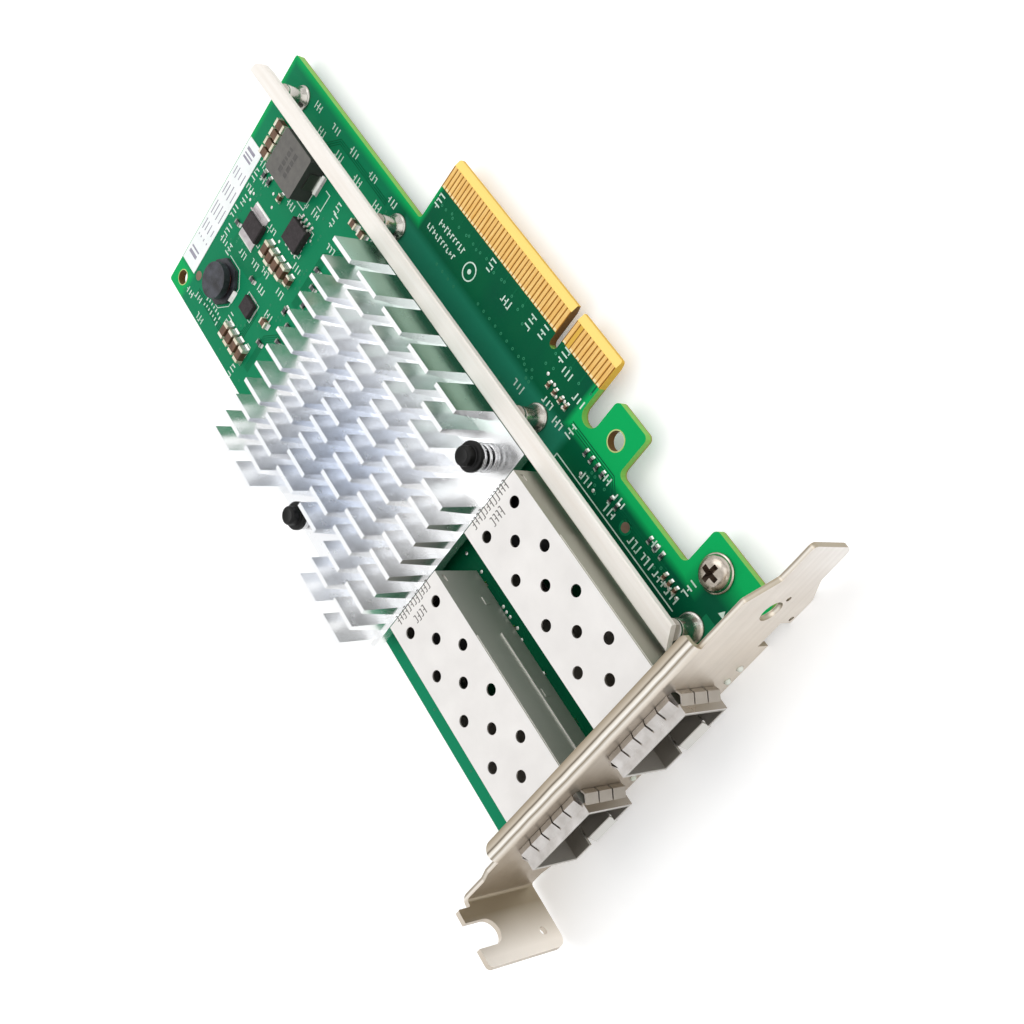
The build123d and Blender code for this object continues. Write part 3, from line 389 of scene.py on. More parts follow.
def milled_aluminium():
    """Extruded and cross-cut aluminium, clear anodised to a bright silver-white, cooler towards its
    middle, with a painted green-grey reflection of the board on the faces of the outermost fins
    turned towards the bar, and fine saw marks."""
    material, tree, shader, place = surface("clear_anodised_extruded_aluminium", "#F8F9FA", 0.9,
                                            0.24)
    # painted reflection of the green board on the faces turned towards the bar, on the fins nearest
    # it
    outermost = ramp(tree, place, "Y", SINK_Y + 9.5, SINK_Y + 1.0)
    facing = add(tree, "ShaderNodeNewGeometry").outputs["Normal"]
    turned_y = add(tree, "ShaderNodeSeparateXYZ", {0: facing}).outputs["Y"]
    out_to_bar = add(tree, "ShaderNodeMath", {0: turned_y, 1: -1.0},
                     operation="MULTIPLY", use_clamp=True).outputs[0]
    green = add(tree, "ShaderNodeMath", {0: outermost, 1: out_to_bar},
                operation="MULTIPLY").outputs[0]
    tone = layered(tree, "#FFFFFF",
                   (grain(tree, place, 16.0, 0, 1, detail=2.0), "#FBFCFD"),
                   (inside_box(tree, place, (8, 28, 38, 60), 12), "#F4F8FF"),
                   (green, "#87A898"))
    saw_marks = grain(tree, place, 0.3, 0, 1, (1, 1, 0.05))
    apply_finish(tree, shader, tone, saw_marks, 0.0002, grain(tree, place, 2.0, 0.2, 0.28))
    return material


def iron_powder():
    """Pressed iron-powder inductor body: mid grey on its top, with painted shade nearly black down
    its sides, dense, chalk-dull with a sandy grain."""
    material, tree, shader, place = surface("pressed_iron_powder", "#6E6B69", 0.1, 0.6)
    top = layered(tree, "#696762", (grain(tree, place, 1.5, 0, 1), "#5C5A57"))
    # painted shade: the sides darker than the top
    tone = layered(tree, "#363533", (turned_to(tree, "Z"), top))
    apply_finish(tree, shader, tone, grain(tree, place, 0.12, 0, 1), 0.008)
    return material


def clip_tin():
    """Tinned copper clip of the inductor: bright at its soldered foot, with painted shade darkening
    it where it runs up the block."""
    material, tree, shader, place = surface("tinned_copper_clip", "#E6E4DE", 0.5, 0.4)
    # painted shade: darker from 0.5 mm up
    tone = layered(tree, "#F2F0EB", (grain(tree, place, 0.6, 0, 1), "#D8D5CE"),
                   (ramp(tree, place, "Z", 0.5, 1.0), "#45433F"))
    apply_finish(tree, shader, tone, grain(tree, place, 0.15, 0, 1), 0.002)
    return material


def white_ink():
    """Screen-printed white epoxy ink: chalky, slightly broken at its edges."""
    return worn("white_epoxy_marking_ink", "#DFECE3", "#B9D6C5", 0.0, 0.55, 0.15, 0.004)


def paper_label():
    """Matt coated label paper: cool white, with a soft fibre texture."""
    return worn("coated_label_paper", "#F7FAF9", "#ECF1F0", 0.0, 0.62, 0.3, 0.004,
                Specular_IOR_Level=0.4)


FLOOR_LIFT = 0.26


def seen_rays(tree):
    """1 for rays from the camera, off a glossy surface or through something clear."""
    rays = add(tree, "ShaderNodeLightPath")
    seen = rays.outputs["Is Camera Ray"]
    for kind in ("Is Glossy Ray", "Is Transmission Ray"):
        seen = add(tree, "ShaderNodeMath", {0: seen, 1: rays.outputs[kind]},
                   operation="MAXIMUM").outputs[0]
    return seen


def floor_paper():
    """Seamless white background paper, a touch brighter to the camera so that it reads white
    and still holds the card's shadow."""
    material, tree, shader, place = surface("seamless_background_paper", "#F4F4F4", 0.0, 0.85,
                                            Emission_Color=ink("#FFFFFF"))
    tone = layered(tree, "#F6F6F6", (grain(tree, place, 2.0, 0, 1), "#F2F2F2"))
    lift = add(tree, "ShaderNodeMath", {0: seen_rays(tree), 1: FLOOR_LIFT},
               operation="MULTIPLY").outputs[0]
    tree.links.new(tone, shader.inputs["Base Color"])
    tree.links.new(lift, shader.inputs["Emission Strength"])
    return material


MASK = masked_laminate()
TRACK_MASK = mask_on_copper("solder_mask_over_tracks", "#05643F", "#035639")
POUR_MASK = mask_on_copper("solder_mask_over_pours", "#147A52", "#0E704A")
VIA_MASK = mask_on_copper("solder_mask_over_via_rings", "#3C8F6B", "#2E7F5D")
GOLD = hard_gold()
NICKEL = nickel_plate()
SPRING_TIN = spring_tin()
TIN_SHEET = tin_plate()
ALUMINIUM = milled_aluminium()
INK = white_ink()
PAPER = paper_label()
# Baked enamel over steel strip: warm off-white, slightly grainy to the light
BAR_ENAMEL = worn("baked_enamel_on_steel_strip", "#F7F3ED", "#EBE4DB", 0.0, 0.5, 0.12, 0.006,
                  (0.06, 1, 1))
# Machined and nickel-plated screw steel: bright with turning marks
SCREW_STEEL = worn("nickel_plated_screw_steel", "#CCC3B8", "#9C9285", 1.0, 0.2, 0.12, 0.002,
                   (1, 1, 4))
# The punched recess of the screws, darkened brown as painted shade
RECESS_PAINTED_SHADE = worn("punched_recess_painted_shade", "#8A7A6B", "#65574C", 0.8, 0.35, 0.2, 0.003)
# Turned and tinned brass spacers, wetted with solder: bright, frosted, with soft dents
TINNED_BRASS = worn("tinned_turned_spacer", "#D5D2CC", "#A39F97", 0.95, 0.2, 0.5, 0.014)
# Reflowed tin-silver solder: silver-white, smooth, slightly frosted
SOLDER = worn("reflowed_tin_silver_solder", "#ECECE8", "#D3D2CC", 0.7, 0.32, 0.2, 0.005)
# Tin-plated terminations fired on ceramic parts: bright and a little creamy
TERMINATION = worn("fired_tin_termination", "#E8E6E0", "#C9C6BE", 0.7, 0.34, 0.15, 0.004)
# Hard-drawn stainless spring wire: bright, with dark lines between the turns
SPRING_WIRE = worn("hard_drawn_stainless_spring_wire", "#E2E2E3", "#C2C2C5", 0.9, 0.26, 0.1,
                   0.001)
# Injection-moulded black nylon with a satin spark-eroded skin
NYLON = worn("moulded_black_nylon", "#060606", "#0D0D0D", 0.0, 0.4, 0.12, 0.004,
             Specular_IOR_Level=0.25)
# Transfer-moulded epoxy chip package: near-black, faintly brown, fine matt speckle
EPOXY = worn("transfer_moulded_chip_epoxy", "#2B2627", "#352F31", 0.0, 0.6, 0.08, 0.004,
             Specular_IOR_Level=0.3)
# Fired silver ends of the ceramic capacitors under tin: bright and a little creamy
CAPACITOR_TIN = worn("tinned_fired_silver_end", "#F2ECDC", "#D3C8AC", 0.5, 0.36, 0.15, 0.004)
# Plated ends of the chip resistors, dull and grey
RESISTOR_TIN = worn("plated_resistor_end", "#B4B5AE", "#8E918A", 0.6, 0.4, 0.15, 0.003)
# Diode terminals, stamped and tinned, dull from the mould: mauve-grey
STAMPED_TIN = worn("stamped_tinned_copper", "#DAD6D6", "#AFA8AA", 0.6, 0.38, 0.2, 0.003)
# Bare copper targets for the assembly cameras, gone brown
TARGET_COPPER = worn("bare_copper_target", "#8A6F5C", "#6F5B4C", 0.3, 0.5, 0.2, 0.003)
# Black ink jetted on the cages, thin enough for the tin to grey it
JETTED_INK = worn("jetted_black_ink", "#403C3A", "#625D59", 0.0, 0.6, 0.15, 0.001)
# Laser marking on the inductor block: a shade darker than the powder
LASER_MARK = worn("laser_marked_powder", "#4E4C4A", "#575553", 0.0, 0.7, 0.15, 0.003)
# Sintered multilayer capacitor ceramic: tan-brown, dull, finely pitted
CERAMIC = worn("sintered_capacitor_ceramic", "#6E4F38", "#523A2A", 0.0, 0.5, 0.1, 0.006)
# Glazed thick-film resistor: black glass over white alumina
RESISTOR = worn("glazed_thick_film_resistor", "#1B1C20", "#2A2C30", 0.0, 0.32, 0.1, 0.003,
                Coat_Weight=0.4, Coat_Roughness=0.15)
IRON_POWDER = iron_powder()
CLIP_TIN = clip_tin()
# Sintered manganese-zinc ferrite, tumbled: charcoal, with blue-grey patches all over as painted
# reflection
FERRITE_PAINTED_REFLECTION = worn("sintered_ferrite_painted_reflection", "#141313", "#44464E", 0.0, 0.45, 0.2, 0.02,
               Specular_IOR_Level=0.4)
# Enamelled copper wire: red-orange under clear varnish
COPPER_WIRE = worn("enamelled_copper_wire", "#7A3826", "#4C231B", 0.8, 0.3, 0.2, 0.002,
                   Coat_Weight=0.3, Coat_Roughness=0.12)
# Glass-filled connector plastic, black and slightly fibrous
CONNECTOR_PLASTIC = worn("glass_filled_connector_plastic", "#1C1C1D", "#282829", 0.0, 0.5, 0.15,
                         0.006, (0.2, 1, 1))
# Milky epoxy lens over the light's chip, faintly green
LIGHT_LENS = worn("cast_epoxy_light_lens", "#F4F7F0", "#E3ECDC", 0.0, 0.18, 0.3, 0.002,
                  Coat_Weight=0.6, Coat_Roughness=0.08)
# Silicone gap filler: grey-pink, rubbery, finely porous
GAP_FILLER = worn("silicone_gap_filler", "#8E8F94", "#7F8086", 0.0, 0.75, 0.2, 0.02)
# Nickel-plated copper heat spreader: soft satin grey
LID_NICKEL = worn("nickel_plated_copper_lid", "#B9B7B2", "#A3A19C", 1.0, 0.32, 0.2, 0.003)
# Glass-epoxy chip carrier with dark green mask
CARRIER = worn("chip_carrier_laminate", "#1F4A35", "#173D2C", 0.0, 0.4, 0.3, 0.004)
# Thermal printer wax on the label: thin, greyed
PRINT_WAX = worn("thermal_transfer_print", "#8E8B99", "#A6A3B0", 0.0, 0.6, 0.2, 0.001)
# Bare glass-epoxy round a drilled hole: straw yellow
BARE_LAMINATE = worn("bare_glass_epoxy", "#C9D08E", "#A9B96A", 0.0, 0.5, 0.3, 0.003)


def dress(node, material):
    """Gives a CAD node its finish in every material slot."""
    slots = NODES[node].material_slots
    if not slots:
        NODES[node].data.materials.append(material)
    for slot in slots:
        slot.material = material


FINISHES = {
    "circuit_board": MASK,
    "edge_contacts_component_side": GOLD, "edge_contacts_solder_side": GOLD,
    "bracket": NICKEL, "spring_collar_a": SPRING_TIN, "spring_collar_b": SPRING_TIN,
    "bracket_screws": SCREW_STEEL, "stiffener_bar": BAR_ENAMEL,
    "stiffener_posts": TINNED_BRASS, "heat_sink": ALUMINIUM, "thermal_pad": GAP_FILLER,
    "controller_chip": CARRIER, "controller_lid": LID_NICKEL, "push_pins": NYLON,
    "push_pin_springs": SPRING_WIRE, "cage_a": TIN_SHEET, "cage_b": TIN_SHEET,
    "transceiver_socket_a": CONNECTOR_PLASTIC, "transceiver_socket_b": CONNECTOR_PLASTIC,
    "socket_contacts_a": GOLD, "socket_contacts_b": GOLD, "status_lights": LIGHT_LENS,
    "power_inductor": IRON_POWDER, "power_inductor_clips": CLIP_TIN,
    "drum_inductor_base": FERRITE_PAINTED_REFLECTION, "drum_inductor_core": FERRITE_PAINTED_REFLECTION,
    "drum_inductor_winding": COPPER_WIRE, "rectifier_diode": EPOXY,
    "rectifier_terminals": STAMPED_TIN, "driver_chip": EPOXY,
    "driver_chip_leads": TERMINATION, "timing_chip": EPOXY, "ceramic_capacitors": CERAMIC,
    "capacitor_ends": CAPACITOR_TIN, "chip_resistors": RESISTOR, "resistor_ends": RESISTOR_TIN,
    "solder_side_capacitors": CERAMIC, "solder_side_capacitor_ends": CAPACITOR_TIN,
    "rear_label": PAPER,
}
for node_name, finish in FINISHES.items():
    dress(node_name, finish)


# Mesh helpers, all in millimetres


SHARP = math.radians(38)  # edges that bend more than this stay crisp on a smooth piece


def stand(name, mesh, material):
    """Turns a bmesh in millimetres into an object of the scene."""
    bmesh.ops.recalc_face_normals(mesh, faces=mesh.faces)
    bmesh.ops.scale(mesh, vec=(MM, MM, MM), verts=mesh.verts)
    data = bpy.data.meshes.new(name)
    mesh.to_mesh(data)
    mesh.free()
    data.materials.append(material)
    made = bpy.data.objects.new(name, data)
    bpy.context.scene.collection.objects.link(made)
    return made


def piece(name, mesh, material, smooth=False, stands_for=()):
    """Turns a bmesh in millimetres into a piece that rides on the card."""
    for face in mesh.faces:
        face.smooth = smooth
    made = stand(name, mesh, material)
    if smooth:
        made.data.set_sharp_from_angle(angle=SHARP)
    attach(made, "root")
    if stands_for:
        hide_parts(*stands_for)
    return made


def skin(mesh, loops, capped=False):
    """Joins loops of vertices in turn, with a fan to a loop of one, and may close both ends."""
    for first, second in zip(loops, loops[1:]):
        steps = max(len(first), len(second))
        for i in range(steps):
            j = (i + 1) % steps
            corners = (first[i % len(first)], first[j % len(first)],
                       second[j % len(second)], second[i % len(second)])
            mesh.faces.new(list(dict.fromkeys(corners)))
    if capped:
        mesh.faces.new(loops[0])
        mesh.faces.new(list(reversed(loops[-1])))


def prism(mesh, corners, z0, z1):
    """A flat plate through corners in XY, closed on all sides."""
    skin(mesh, [[mesh.verts.new((x, y, z)) for x, y in corners] for z in (z0, z1)], capped=True)


def slab(mesh, x0, x1, y0, y1, z0, z1):
    """A square-cornered block from its limits."""
    prism(mesh, [(x0, y0), (x1, y0), (x1, y1), (x0, y1)], z0, z1)


def heading(angle):
    """Unit vectors along and across a direction in degrees."""
    along = Vector((math.cos(math.radians(angle)), math.sin(math.radians(angle))))
    return along, Vector((-along.y, along.x))


CORNERS = ((-1, -1), (1, -1), (1, 1), (-1, 1))


def bar(mesh, x, y, length, width, angle, z0, z1):
    """A small plate centred at x, y, its length turned by an angle in degrees."""
    along, across = heading(angle)
    corners = [Vector((x, y)) + along * a * length / 2 + across * b * width / 2
               for a, b in CORNERS]
    prism(mesh, corners, z0, z1)


def circle(x, y, radius, steps):
    """Points round a centre."""
    turns = [2 * math.pi * i / steps for i in range(steps)]
    return [(x + radius * math.cos(t), y + radius * math.sin(t)) for t in turns]


def ring(mesh, x, y, inner, outer, z0, z1, steps=16):
    """A flat washer, or a disc where the inner diameter is 0."""
    if inner <= 0:
        prism(mesh, circle(x, y, outer / 2, steps), z0, z1)
        return
    loops = [[mesh.verts.new((*point, z)) for point in circle(x, y, diameter / 2, steps)]
             for diameter, z in ((inner, z0), (outer, z0), (outer, z1), (inner, z1))]
    skin(mesh, loops + loops[:1])


def mitres(points):
    """Each point of a line with its sideways vector, longer at corners to keep widths even."""
    points = [Vector(p) for p in points]
    for i, point in enumerate(points):
        before = (point - points[i - 1]).normalized() if i else None
        after = (points[i + 1] - point).normalized() if i + 1 < len(points) else None
        before = before or after
        after = after or before
        middle = (before + after).normalized()
        yield point, Vector((-middle.y, middle.x)) / max(0.4, middle.dot(before))


def strip(mesh, points, width, z0, z1):
    """A flat ribbon of even width along a line of points, with mitred corners."""
    rows = [[mesh.verts.new((*(point + side * s * width / 2), z))
             for s, z in ((1, z0), (-1, z0), (-1, z1), (1, z1))]
            for point, side in mitres(points)]
    skin(mesh, rows, capped=True)


def bundle(mesh, points, count, pitch, width, z0, z1):
    """Several tracks side by side along one route."""
    for number in range(count):
        shift = (number - (count - 1) / 2) * pitch
        strip(mesh, [point + side * shift for point, side in mitres(points)], width, z0, z1)


def turned(mesh, profile, x, y, steps=32):
    """A round shape from a profile of (radius, z), closed at its axis ends."""
    skin(mesh, [[mesh.verts.new((*point, z))
                 for point in circle(x, y, radius, steps if radius else 1)]
                for radius, z in profile])


def lumps(node):
    """The separate solids of a CAD node as (lowest, highest) corners in millimetres."""
    mesh = bmesh.new()
    mesh.from_mesh(NODES[node].data)
    bmesh.ops.remove_doubles(mesh, verts=mesh.verts, dist=0.002 * MM)
    mesh.verts.ensure_lookup_table()
    seen = set()
    found = []
    for start in mesh.verts:
        if start.index in seen:
            continue
        group, queue = [], [start]
        seen.add(start.index)
        while queue:
            vert = queue.pop()
            group.append(vert.co / MM)
            for edge in vert.link_edges:
                other = edge.other_vert(vert)
                if other.index not in seen:
                    seen.add(other.index)
                    queue.append(other)
        found.append((Vector([min(p[k] for p in group) for k in range(3)]),
                      Vector([max(p[k] for p in group) for k in range(3)])))
    mesh.free()
    return sorted(found, key=lambda box: (round(box[0].x, 3), round(box[0].y, 3), box[0].z))


# Layers and marks on the board

LAYER = 0.035             # height of a printed or plated layer over the board face
TRACK_T = 0.02            # the other layers, each as it stands up over the face
POUR_T = 0.014
VIA_T = 0.03
DOT_T = 0.05
SUNK = 0.01               # how far a layer reaches into what lies under it
TRACK_W = 0.18
TRACK_PITCH = 0.42
VIA_D = 0.54
VIA_HOLE = 0.26
rng = random.Random(20)


def side_z(side, thick=LAYER):
    """Lowest and highest z of a layer on the component side (1) or the solder side (-1)."""
    if side > 0:
        return FACE_Z - SUNK, FACE_Z + thick
    return SOLDER_Z - thick, SOLDER_Z + SUNK


# Keep-out boxes on the component face, where a part stands and no via shows
PARTS = [span(n) for n in ("power_inductor", "drum_inductor_base", "rectifier_diode",
                           "rectifier_terminals", "driver_chip", "timing_chip", "rear_label")]
PARTS += [lump for n in ("capacitor_ends", "resistor_ends", "ceramic_capacitors",
                         "chip_resistors", "driver_chip_leads") for lump in lumps(n)]


def clear_of_parts(x, y, margin):
    """True where nothing stands on the component face within a margin."""
    return not any(low.x - margin < x < high.x + margin and low.y - margin < y < high.y + margin
                   for low, high in PARTS)


CONTACTS = {1: lumps("edge_contacts_component_side"), -1: lumps("edge_contacts_solder_side")}
vias = {1: [], -1: []}
STUB_L = 1.9
STUB_STAGGER = 0.5
STUB_W = 0.3
RUNS_AFTER = 12           # contacts up to this one have no long track
RUN_TURN_Y = 14.0
RUN_SPREAD = 0.12
RUN_SLANT = 4.0
RUN_END = 6.0


def contact_tracks(mesh, side):
    """Short tracks from the contacts: every third one to a via close by, and on the solder side
    others that run on towards the chip."""
    z0, z1 = side_z(side, TRACK_T)
    for number, (low, high) in enumerate(CONTACTS[side]):
        x = (low.x + high.x) / 2
        top = high.y - 0.1
        if number % 3 == 0:
            end = (x, top + STUB_L + STUB_STAGGER * (number % 2))
            strip(mesh, [(x, top), end], STUB_W, z0, z1)
            vias[side].append(end)
        elif side < 0 and number > RUNS_AFTER and number % 3 == 1:
            turn = RUN_TURN_Y + RUN_SPREAD * (number - RUNS_AFTER)
            bend = (x - RUN_SLANT, turn + RUN_SLANT)
            strip(mesh, [(x, top), (x, turn), bend, (bend[0], bend[1] + RUN_END)], TRACK_W,
                  z0, z1)


ROUTES = {
    1: [([(-13, 42.2), (-30, 42.2), (-34, 44.0), (-52, 44.0)], 4),
        ([(44, 30.0), (50, 30.0), (54, 34.0), (54, 46.0)], 5),
        ([(44, 52), (52, 52), (56, 56), (56, 64)], 4),
        ([(80, 20), (70, 20), (66.5, 16.5), (48, 16.5)], 3),
        ([(-12, 13.2), (-24, 13.2), (-27, 15.5), (-44, 15.5)], 3),
        ([(62, 54), (62, 60), (66, 64), (80, 64)], 4),
        ([(-6, 60.5), (-20, 60.5), (-24, 63.0), (-54, 63.0)], 4)],
    -1: [([(38, 12), (38, 18), (30, 26), (30, 36)], 10),
         ([(20, 10), (20, 20), (16, 24), (16, 34)], 12),
         ([(4, 10), (4, 22), (6, 24), (6, 34)], 8),
         ([(-48, 30), (-30, 30), (-22, 38), (-6, 38)], 8),
         ([(-48, 53), (-34, 53), (-24, 43), (-6, 43)], 8),
         ([(24, 44), (40, 44), (50, 54), (72, 54)], 7),
         ([(30, 32), (48, 32), (56, 24), (80, 24)], 6),
         ([(60, 30), (60, 42), (66, 48), (84, 48)], 6),
         ([(-52, 22), (-20, 22), (-10, 30), (-2, 30)], 5),
         ([(0, 62), (20, 62), (24, 58), (44, 58)], 5)],
}
POURS = {
    1: [[(46.5, 20.6), (64.0, 20.6), (64.0, 23.0), (50.0, 23.0), (46.5, 26.5)],
        [(76.8, 21.0), (83.6, 21.0), (83.6, 29.6), (81.0, 32.2), (76.8, 32.2)],
        [(66.2, 45.2), (78.6, 45.2), (78.6, 51.6), (68.8, 51.6), (66.2, 49.0)],
        [(-55, 14.2), (-50.6, 14.2), (-50.6, 20.2), (-55, 20.2)]],
    -1: [[(46, 30), (72, 30), (72, 44), (60, 44), (56, 40), (46, 40)],
         [(-56, 56), (-10, 56), (-10, 66), (-56, 66)],
         [(74, 30), (88, 30), (88, 52), (78, 52), (74, 48)]],
}
VIA_ROWS = {
    1: [((35.2, 7.9), (16.3, 7.6), 9), ((12.4, 7.6), (7.4, 9.5), 3), ((17.4, 13.8), (2.2, 13.6), 9),
        ((-1.1, 10.4), (-2.9, 9.9), 2), ((4.8, 18.8), (-1.4, 19.2), 5),
        ((30.0, 15.6), (24.0, 15.6), 4), ((-14, 46.0), (-50, 46.0), 14),
        ((50.2, 60.0), (50.2, 66.0), 5), ((45.0, 56.0), (45.0, 30.0), 9),
        ((81.0, 44.0), (81.0, 52.0), 6), ((58.0, 22.0), (64.0, 22.0), 5),
        ((82.4, 23.0), (82.4, 30.0), 5), ((-55.2, 64.5), (-55.2, 30.0), 10),
        ((56, 66.9), (84, 66.9), 4), ((38, 67.1), (-52, 67.1), 8)],
    -1: [((34, 7.7), (2, 7.7), 16), ((28, 36.6), (4, 36.6), 20), ((28, 40), (4, 40), 14),
         ((-50, 27), (-50, 57), 12), ((80, 20), (44, 20), 12), ((84, 34), (84, 50), 8),
         ((50, 48), (70, 48), 9), ((56, 66.9), (84, 66.9), 9), ((44, 66.9), (-54, 66.9), 20),
         ((-56, 14), (-56, 20), 3), ((-30, 18.6), (-14, 18.6), 7), ((60, 34), (60, 40), 4)],
}
VIA_CLUSTERS = {
    1: [(-6.2, 12.2, 5.6, 2.6, 16), (1.2, 14.0, 4.0, 2.4, 10), (-23.4, 16.4, 7.0, 1.8, 14),
        (-38.6, 16.6, 6.0, 1.4, 10), (80.0, 37.0, 5.0, 6.0, 14), (60.6, 31.0, 5.0, 7.0, 16),
        (58.0, 41.5, 5.0, 6.0, 10), (76.5, 48.0, 7.0, 3.4, 12), (56.0, 53.0, 8.0, 8.0, 12),
        (70.0, 61.0, 16.0, 6.0, 16), (48.0, 44.0, 4.0, 22.0, 14), (47.0, 17.6, 6.0, 3.0, 6)],
    -1: [(3.6, 40.0, 22.0, 20.0, 90), (62, 38, 22, 16, 40), (-34, 40, 30, 8, 34),
         (60, 60, 40, 10, 30), (-30, 61, 36, 8, 22), (10, 18, 40, 8, 34)],
}


def spaced(first, last, count):
    """Evenly spaced points from the first to the last."""
    for i in range(count):
        t = i / (count - 1)
        yield first[0] + (last[0] - first[0]) * t, first[1] + (last[1] - first[1]) * t


VIA_GRID = 0.9
VIA_APART = 0.8


def place_vias(side):
    """Via centres from the rows, and from clusters on a grid, each kept clear of the others and
    of the parts."""
    for first, last, count in VIA_ROWS[side]:
        vias[side] += spaced(first, last, count)
    for x, y, width, height, count in VIA_CLUSTERS[side]:
        for _ in range(count):
            vias[side].append((x + round(rng.uniform(-width, width) / 2 / VIA_GRID) * VIA_GRID,
                               y + round(rng.uniform(-height, height) / 2 / VIA_GRID) * VIA_GRID))
    kept = []
    for x, y in vias[side]:
        crowded = any(abs(x - a) + abs(y - b) < VIA_APART for a, b in kept)
        if not crowded and (side < 0 or clear_of_parts(x, y, 0.45)):
            kept.append((x, y))
    vias[side] = kept


# Lines of marks: first point, last point, count.  Each mark is three plain bars.
MARK_ROWS = (
    ((76.6, 15.9), (46.8, 15.4), 5), ((72.3, 18.6), (49.6, 18.5), 4),
    ((-34.6, 17.0), (-44.8, 17.0), 4), ((-20.8, 17.1), (-27.6, 17.1), 2),
    ((-23.2, 14.1), (-27.7, 14.7), 2),
)
MARKS = (
    (37.6, 7.7, 90), (19.9, 7.5, 90), (12.7, 9.4, 0), (6.3, 8.0, 90), (3.0, 7.4, 90),
    (-3.0, 6.9, 90), (-5.6, 8.5, 0), (-10.6, 9.8, 0), (0.4, 16.9, 0), (-6.2, 14.4, 0),
    (-10.0, 15.2, 0), (-12.9, 14.1, 90), (-37.9, 14.2, 0), (-46.0, 13.9, 90),
    (62.1, 30.1, 0), (60.8, 36.3, 90), (57.9, 25.4, 90), (57.2, 27.6, 90), (69.1, 33.5, 0),
    (70.0, 40.2, 0), (58.7, 40.5, 0), (69.2, 48.2, 0), (65.5, 47.2, 0), (64.1, 50.3, 0),
    (59.1, 47.0, 0), (73.8, 49.3, 0), (53.6, 31.8, 0), (81.7, 33.4, 0), (82.6, 36.1, 90),
    (79.4, 35.3, 0), (82.0, 39.2, 0), (81.7, 41.9, 90), (82.6, 45.2, 90), (81.4, 49.1, 90),
    (80.7, 51.4, 0), (78.2, 51.5, 90), (81.8, 65.9, 0), (78.7, 64.7, 0), (75.2, 67.3, 0),
    (67.6, 60.5, 90), (58.5, 52.2, 0), (58.7, 61.1, 90), (59.4, 67.0, 90), (49.6, 50.2, 90),
    (-55.4, 43.0, 90), (-55.2, 25.0, 90), (49.4, 38.4, 90), (47.6, 62.4, 0), (86.2, 19.6, 90),
)
LINES = (
    ((-13.4, 18.45), (-46.5, 18.45)), ((-13.4, 18.45), (-13.4, 20.0)),
    ((63.0, 25.2), (61.4, 25.2), (61.4, 28.8), (63.0, 28.8)),
    ((65.6, 24.2), (65.6, 31.8), (68.4, 31.8)),
)
SPOTS = (
    (-42.8, 16.8), (-43.6, 16.7), (-44.6, 16.7), (-45.5, 16.7), (-19.2, 17.2), (-22.9, 17.2),
    (-6.6, 12.6), (-8.5, 11.9), (-8.8, 12.8), (-5.0, 11.5), (-2.7, 11.2), (-23.8, 43.4),
    (-26.0, 43.4), (-28.4, 43.4), (-24.9, 43.5), (-30.4, 44.0), (-11.7, 43.7), (-16.3, 43.2),
    (-37.3, 44.0), (81.3, 39.6), (80.2, 40.6), (60.9, 33.4), (59.6, 34.4), (75.2, 35.3),
    (72.7, 34.9), (73.6, 37.4), (66.8, 40.4), (80.2, 39.1),
)
TARGETS = ((-31.4, 16.5, 1.7), (82.1, 61.7, 2.0))
PLAIN_RING = (23.0, 11.5)
RING_D = 3.4
MARK_H = 1.55
MARK_W = 0.26
MARK_STEP = 0.98
LINE_W = 0.2
OUTLINE_W = 0.16
CORNER_REACH = 0.9
STROKE_ROWS = ((36.6, 12.3, 10), (34.6, 10.1, 9))      # first x, y, number of strokes
STROKE_STEP = 0.96
STROKE_W = 0.24
FOOT_SHIFT = 0.25         # the foot of each stroke
FOOT_L = 0.45
FOOT_W = 0.22
FIRST_LEAD_ARROW = ((-53.1, 12.6), (-51.9, 12.6), (-52.5, 11.5))
CORNERED = {"driver_chip": 0.45, "timing_chip": 0.45, "rectifier_diode": 0.45,
            "power_inductor": 0.5}
DRUM_GAP = 0.5
DRUM_CUT = 2.6
TOP_BARS_X = 76.2         # first bar of the two rows near the top edge
TOP_BARS_ROWS = (62.6, 64.0)
TOP_BARS = 7


def mark(mesh, x, y, angle, side):
    """Three upright bars side by side, of uneven height, some with a short foot."""
    z0, z1 = side_z(side)
    along, across = heading(angle)
    for k in (-1, 0, 1):
        height = MARK_H * rng.choice((0.75, 0.9, 1.0))
        place = Vector((x, y)) + along * k * MARK_STEP
        bar(mesh, *place, height, MARK_W, angle + 90, z0, z1)
        if rng.random() < 0.6:
            place += along * 0.3 * MARK_STEP + across * height * rng.choice((-0.42, 0.0, 0.42))
            bar(mesh, *place, 0.5, MARK_W * 0.8, angle, z0, z1)


def corner_marks(mesh, node_box, gap, side):
    """The four printed corners round a part."""
    low, high = node_box
    z0, z1 = side_z(side)
    for x, sx in ((low.x - gap, 1), (high.x + gap, -1)):
        for y, sy in ((low.y - gap, 1), (high.y + gap, -1)):
            strip(mesh, [(x, y + sy * CORNER_REACH), (x, y), (x + sx * CORNER_REACH, y)],
                  OUTLINE_W, z0, z1)


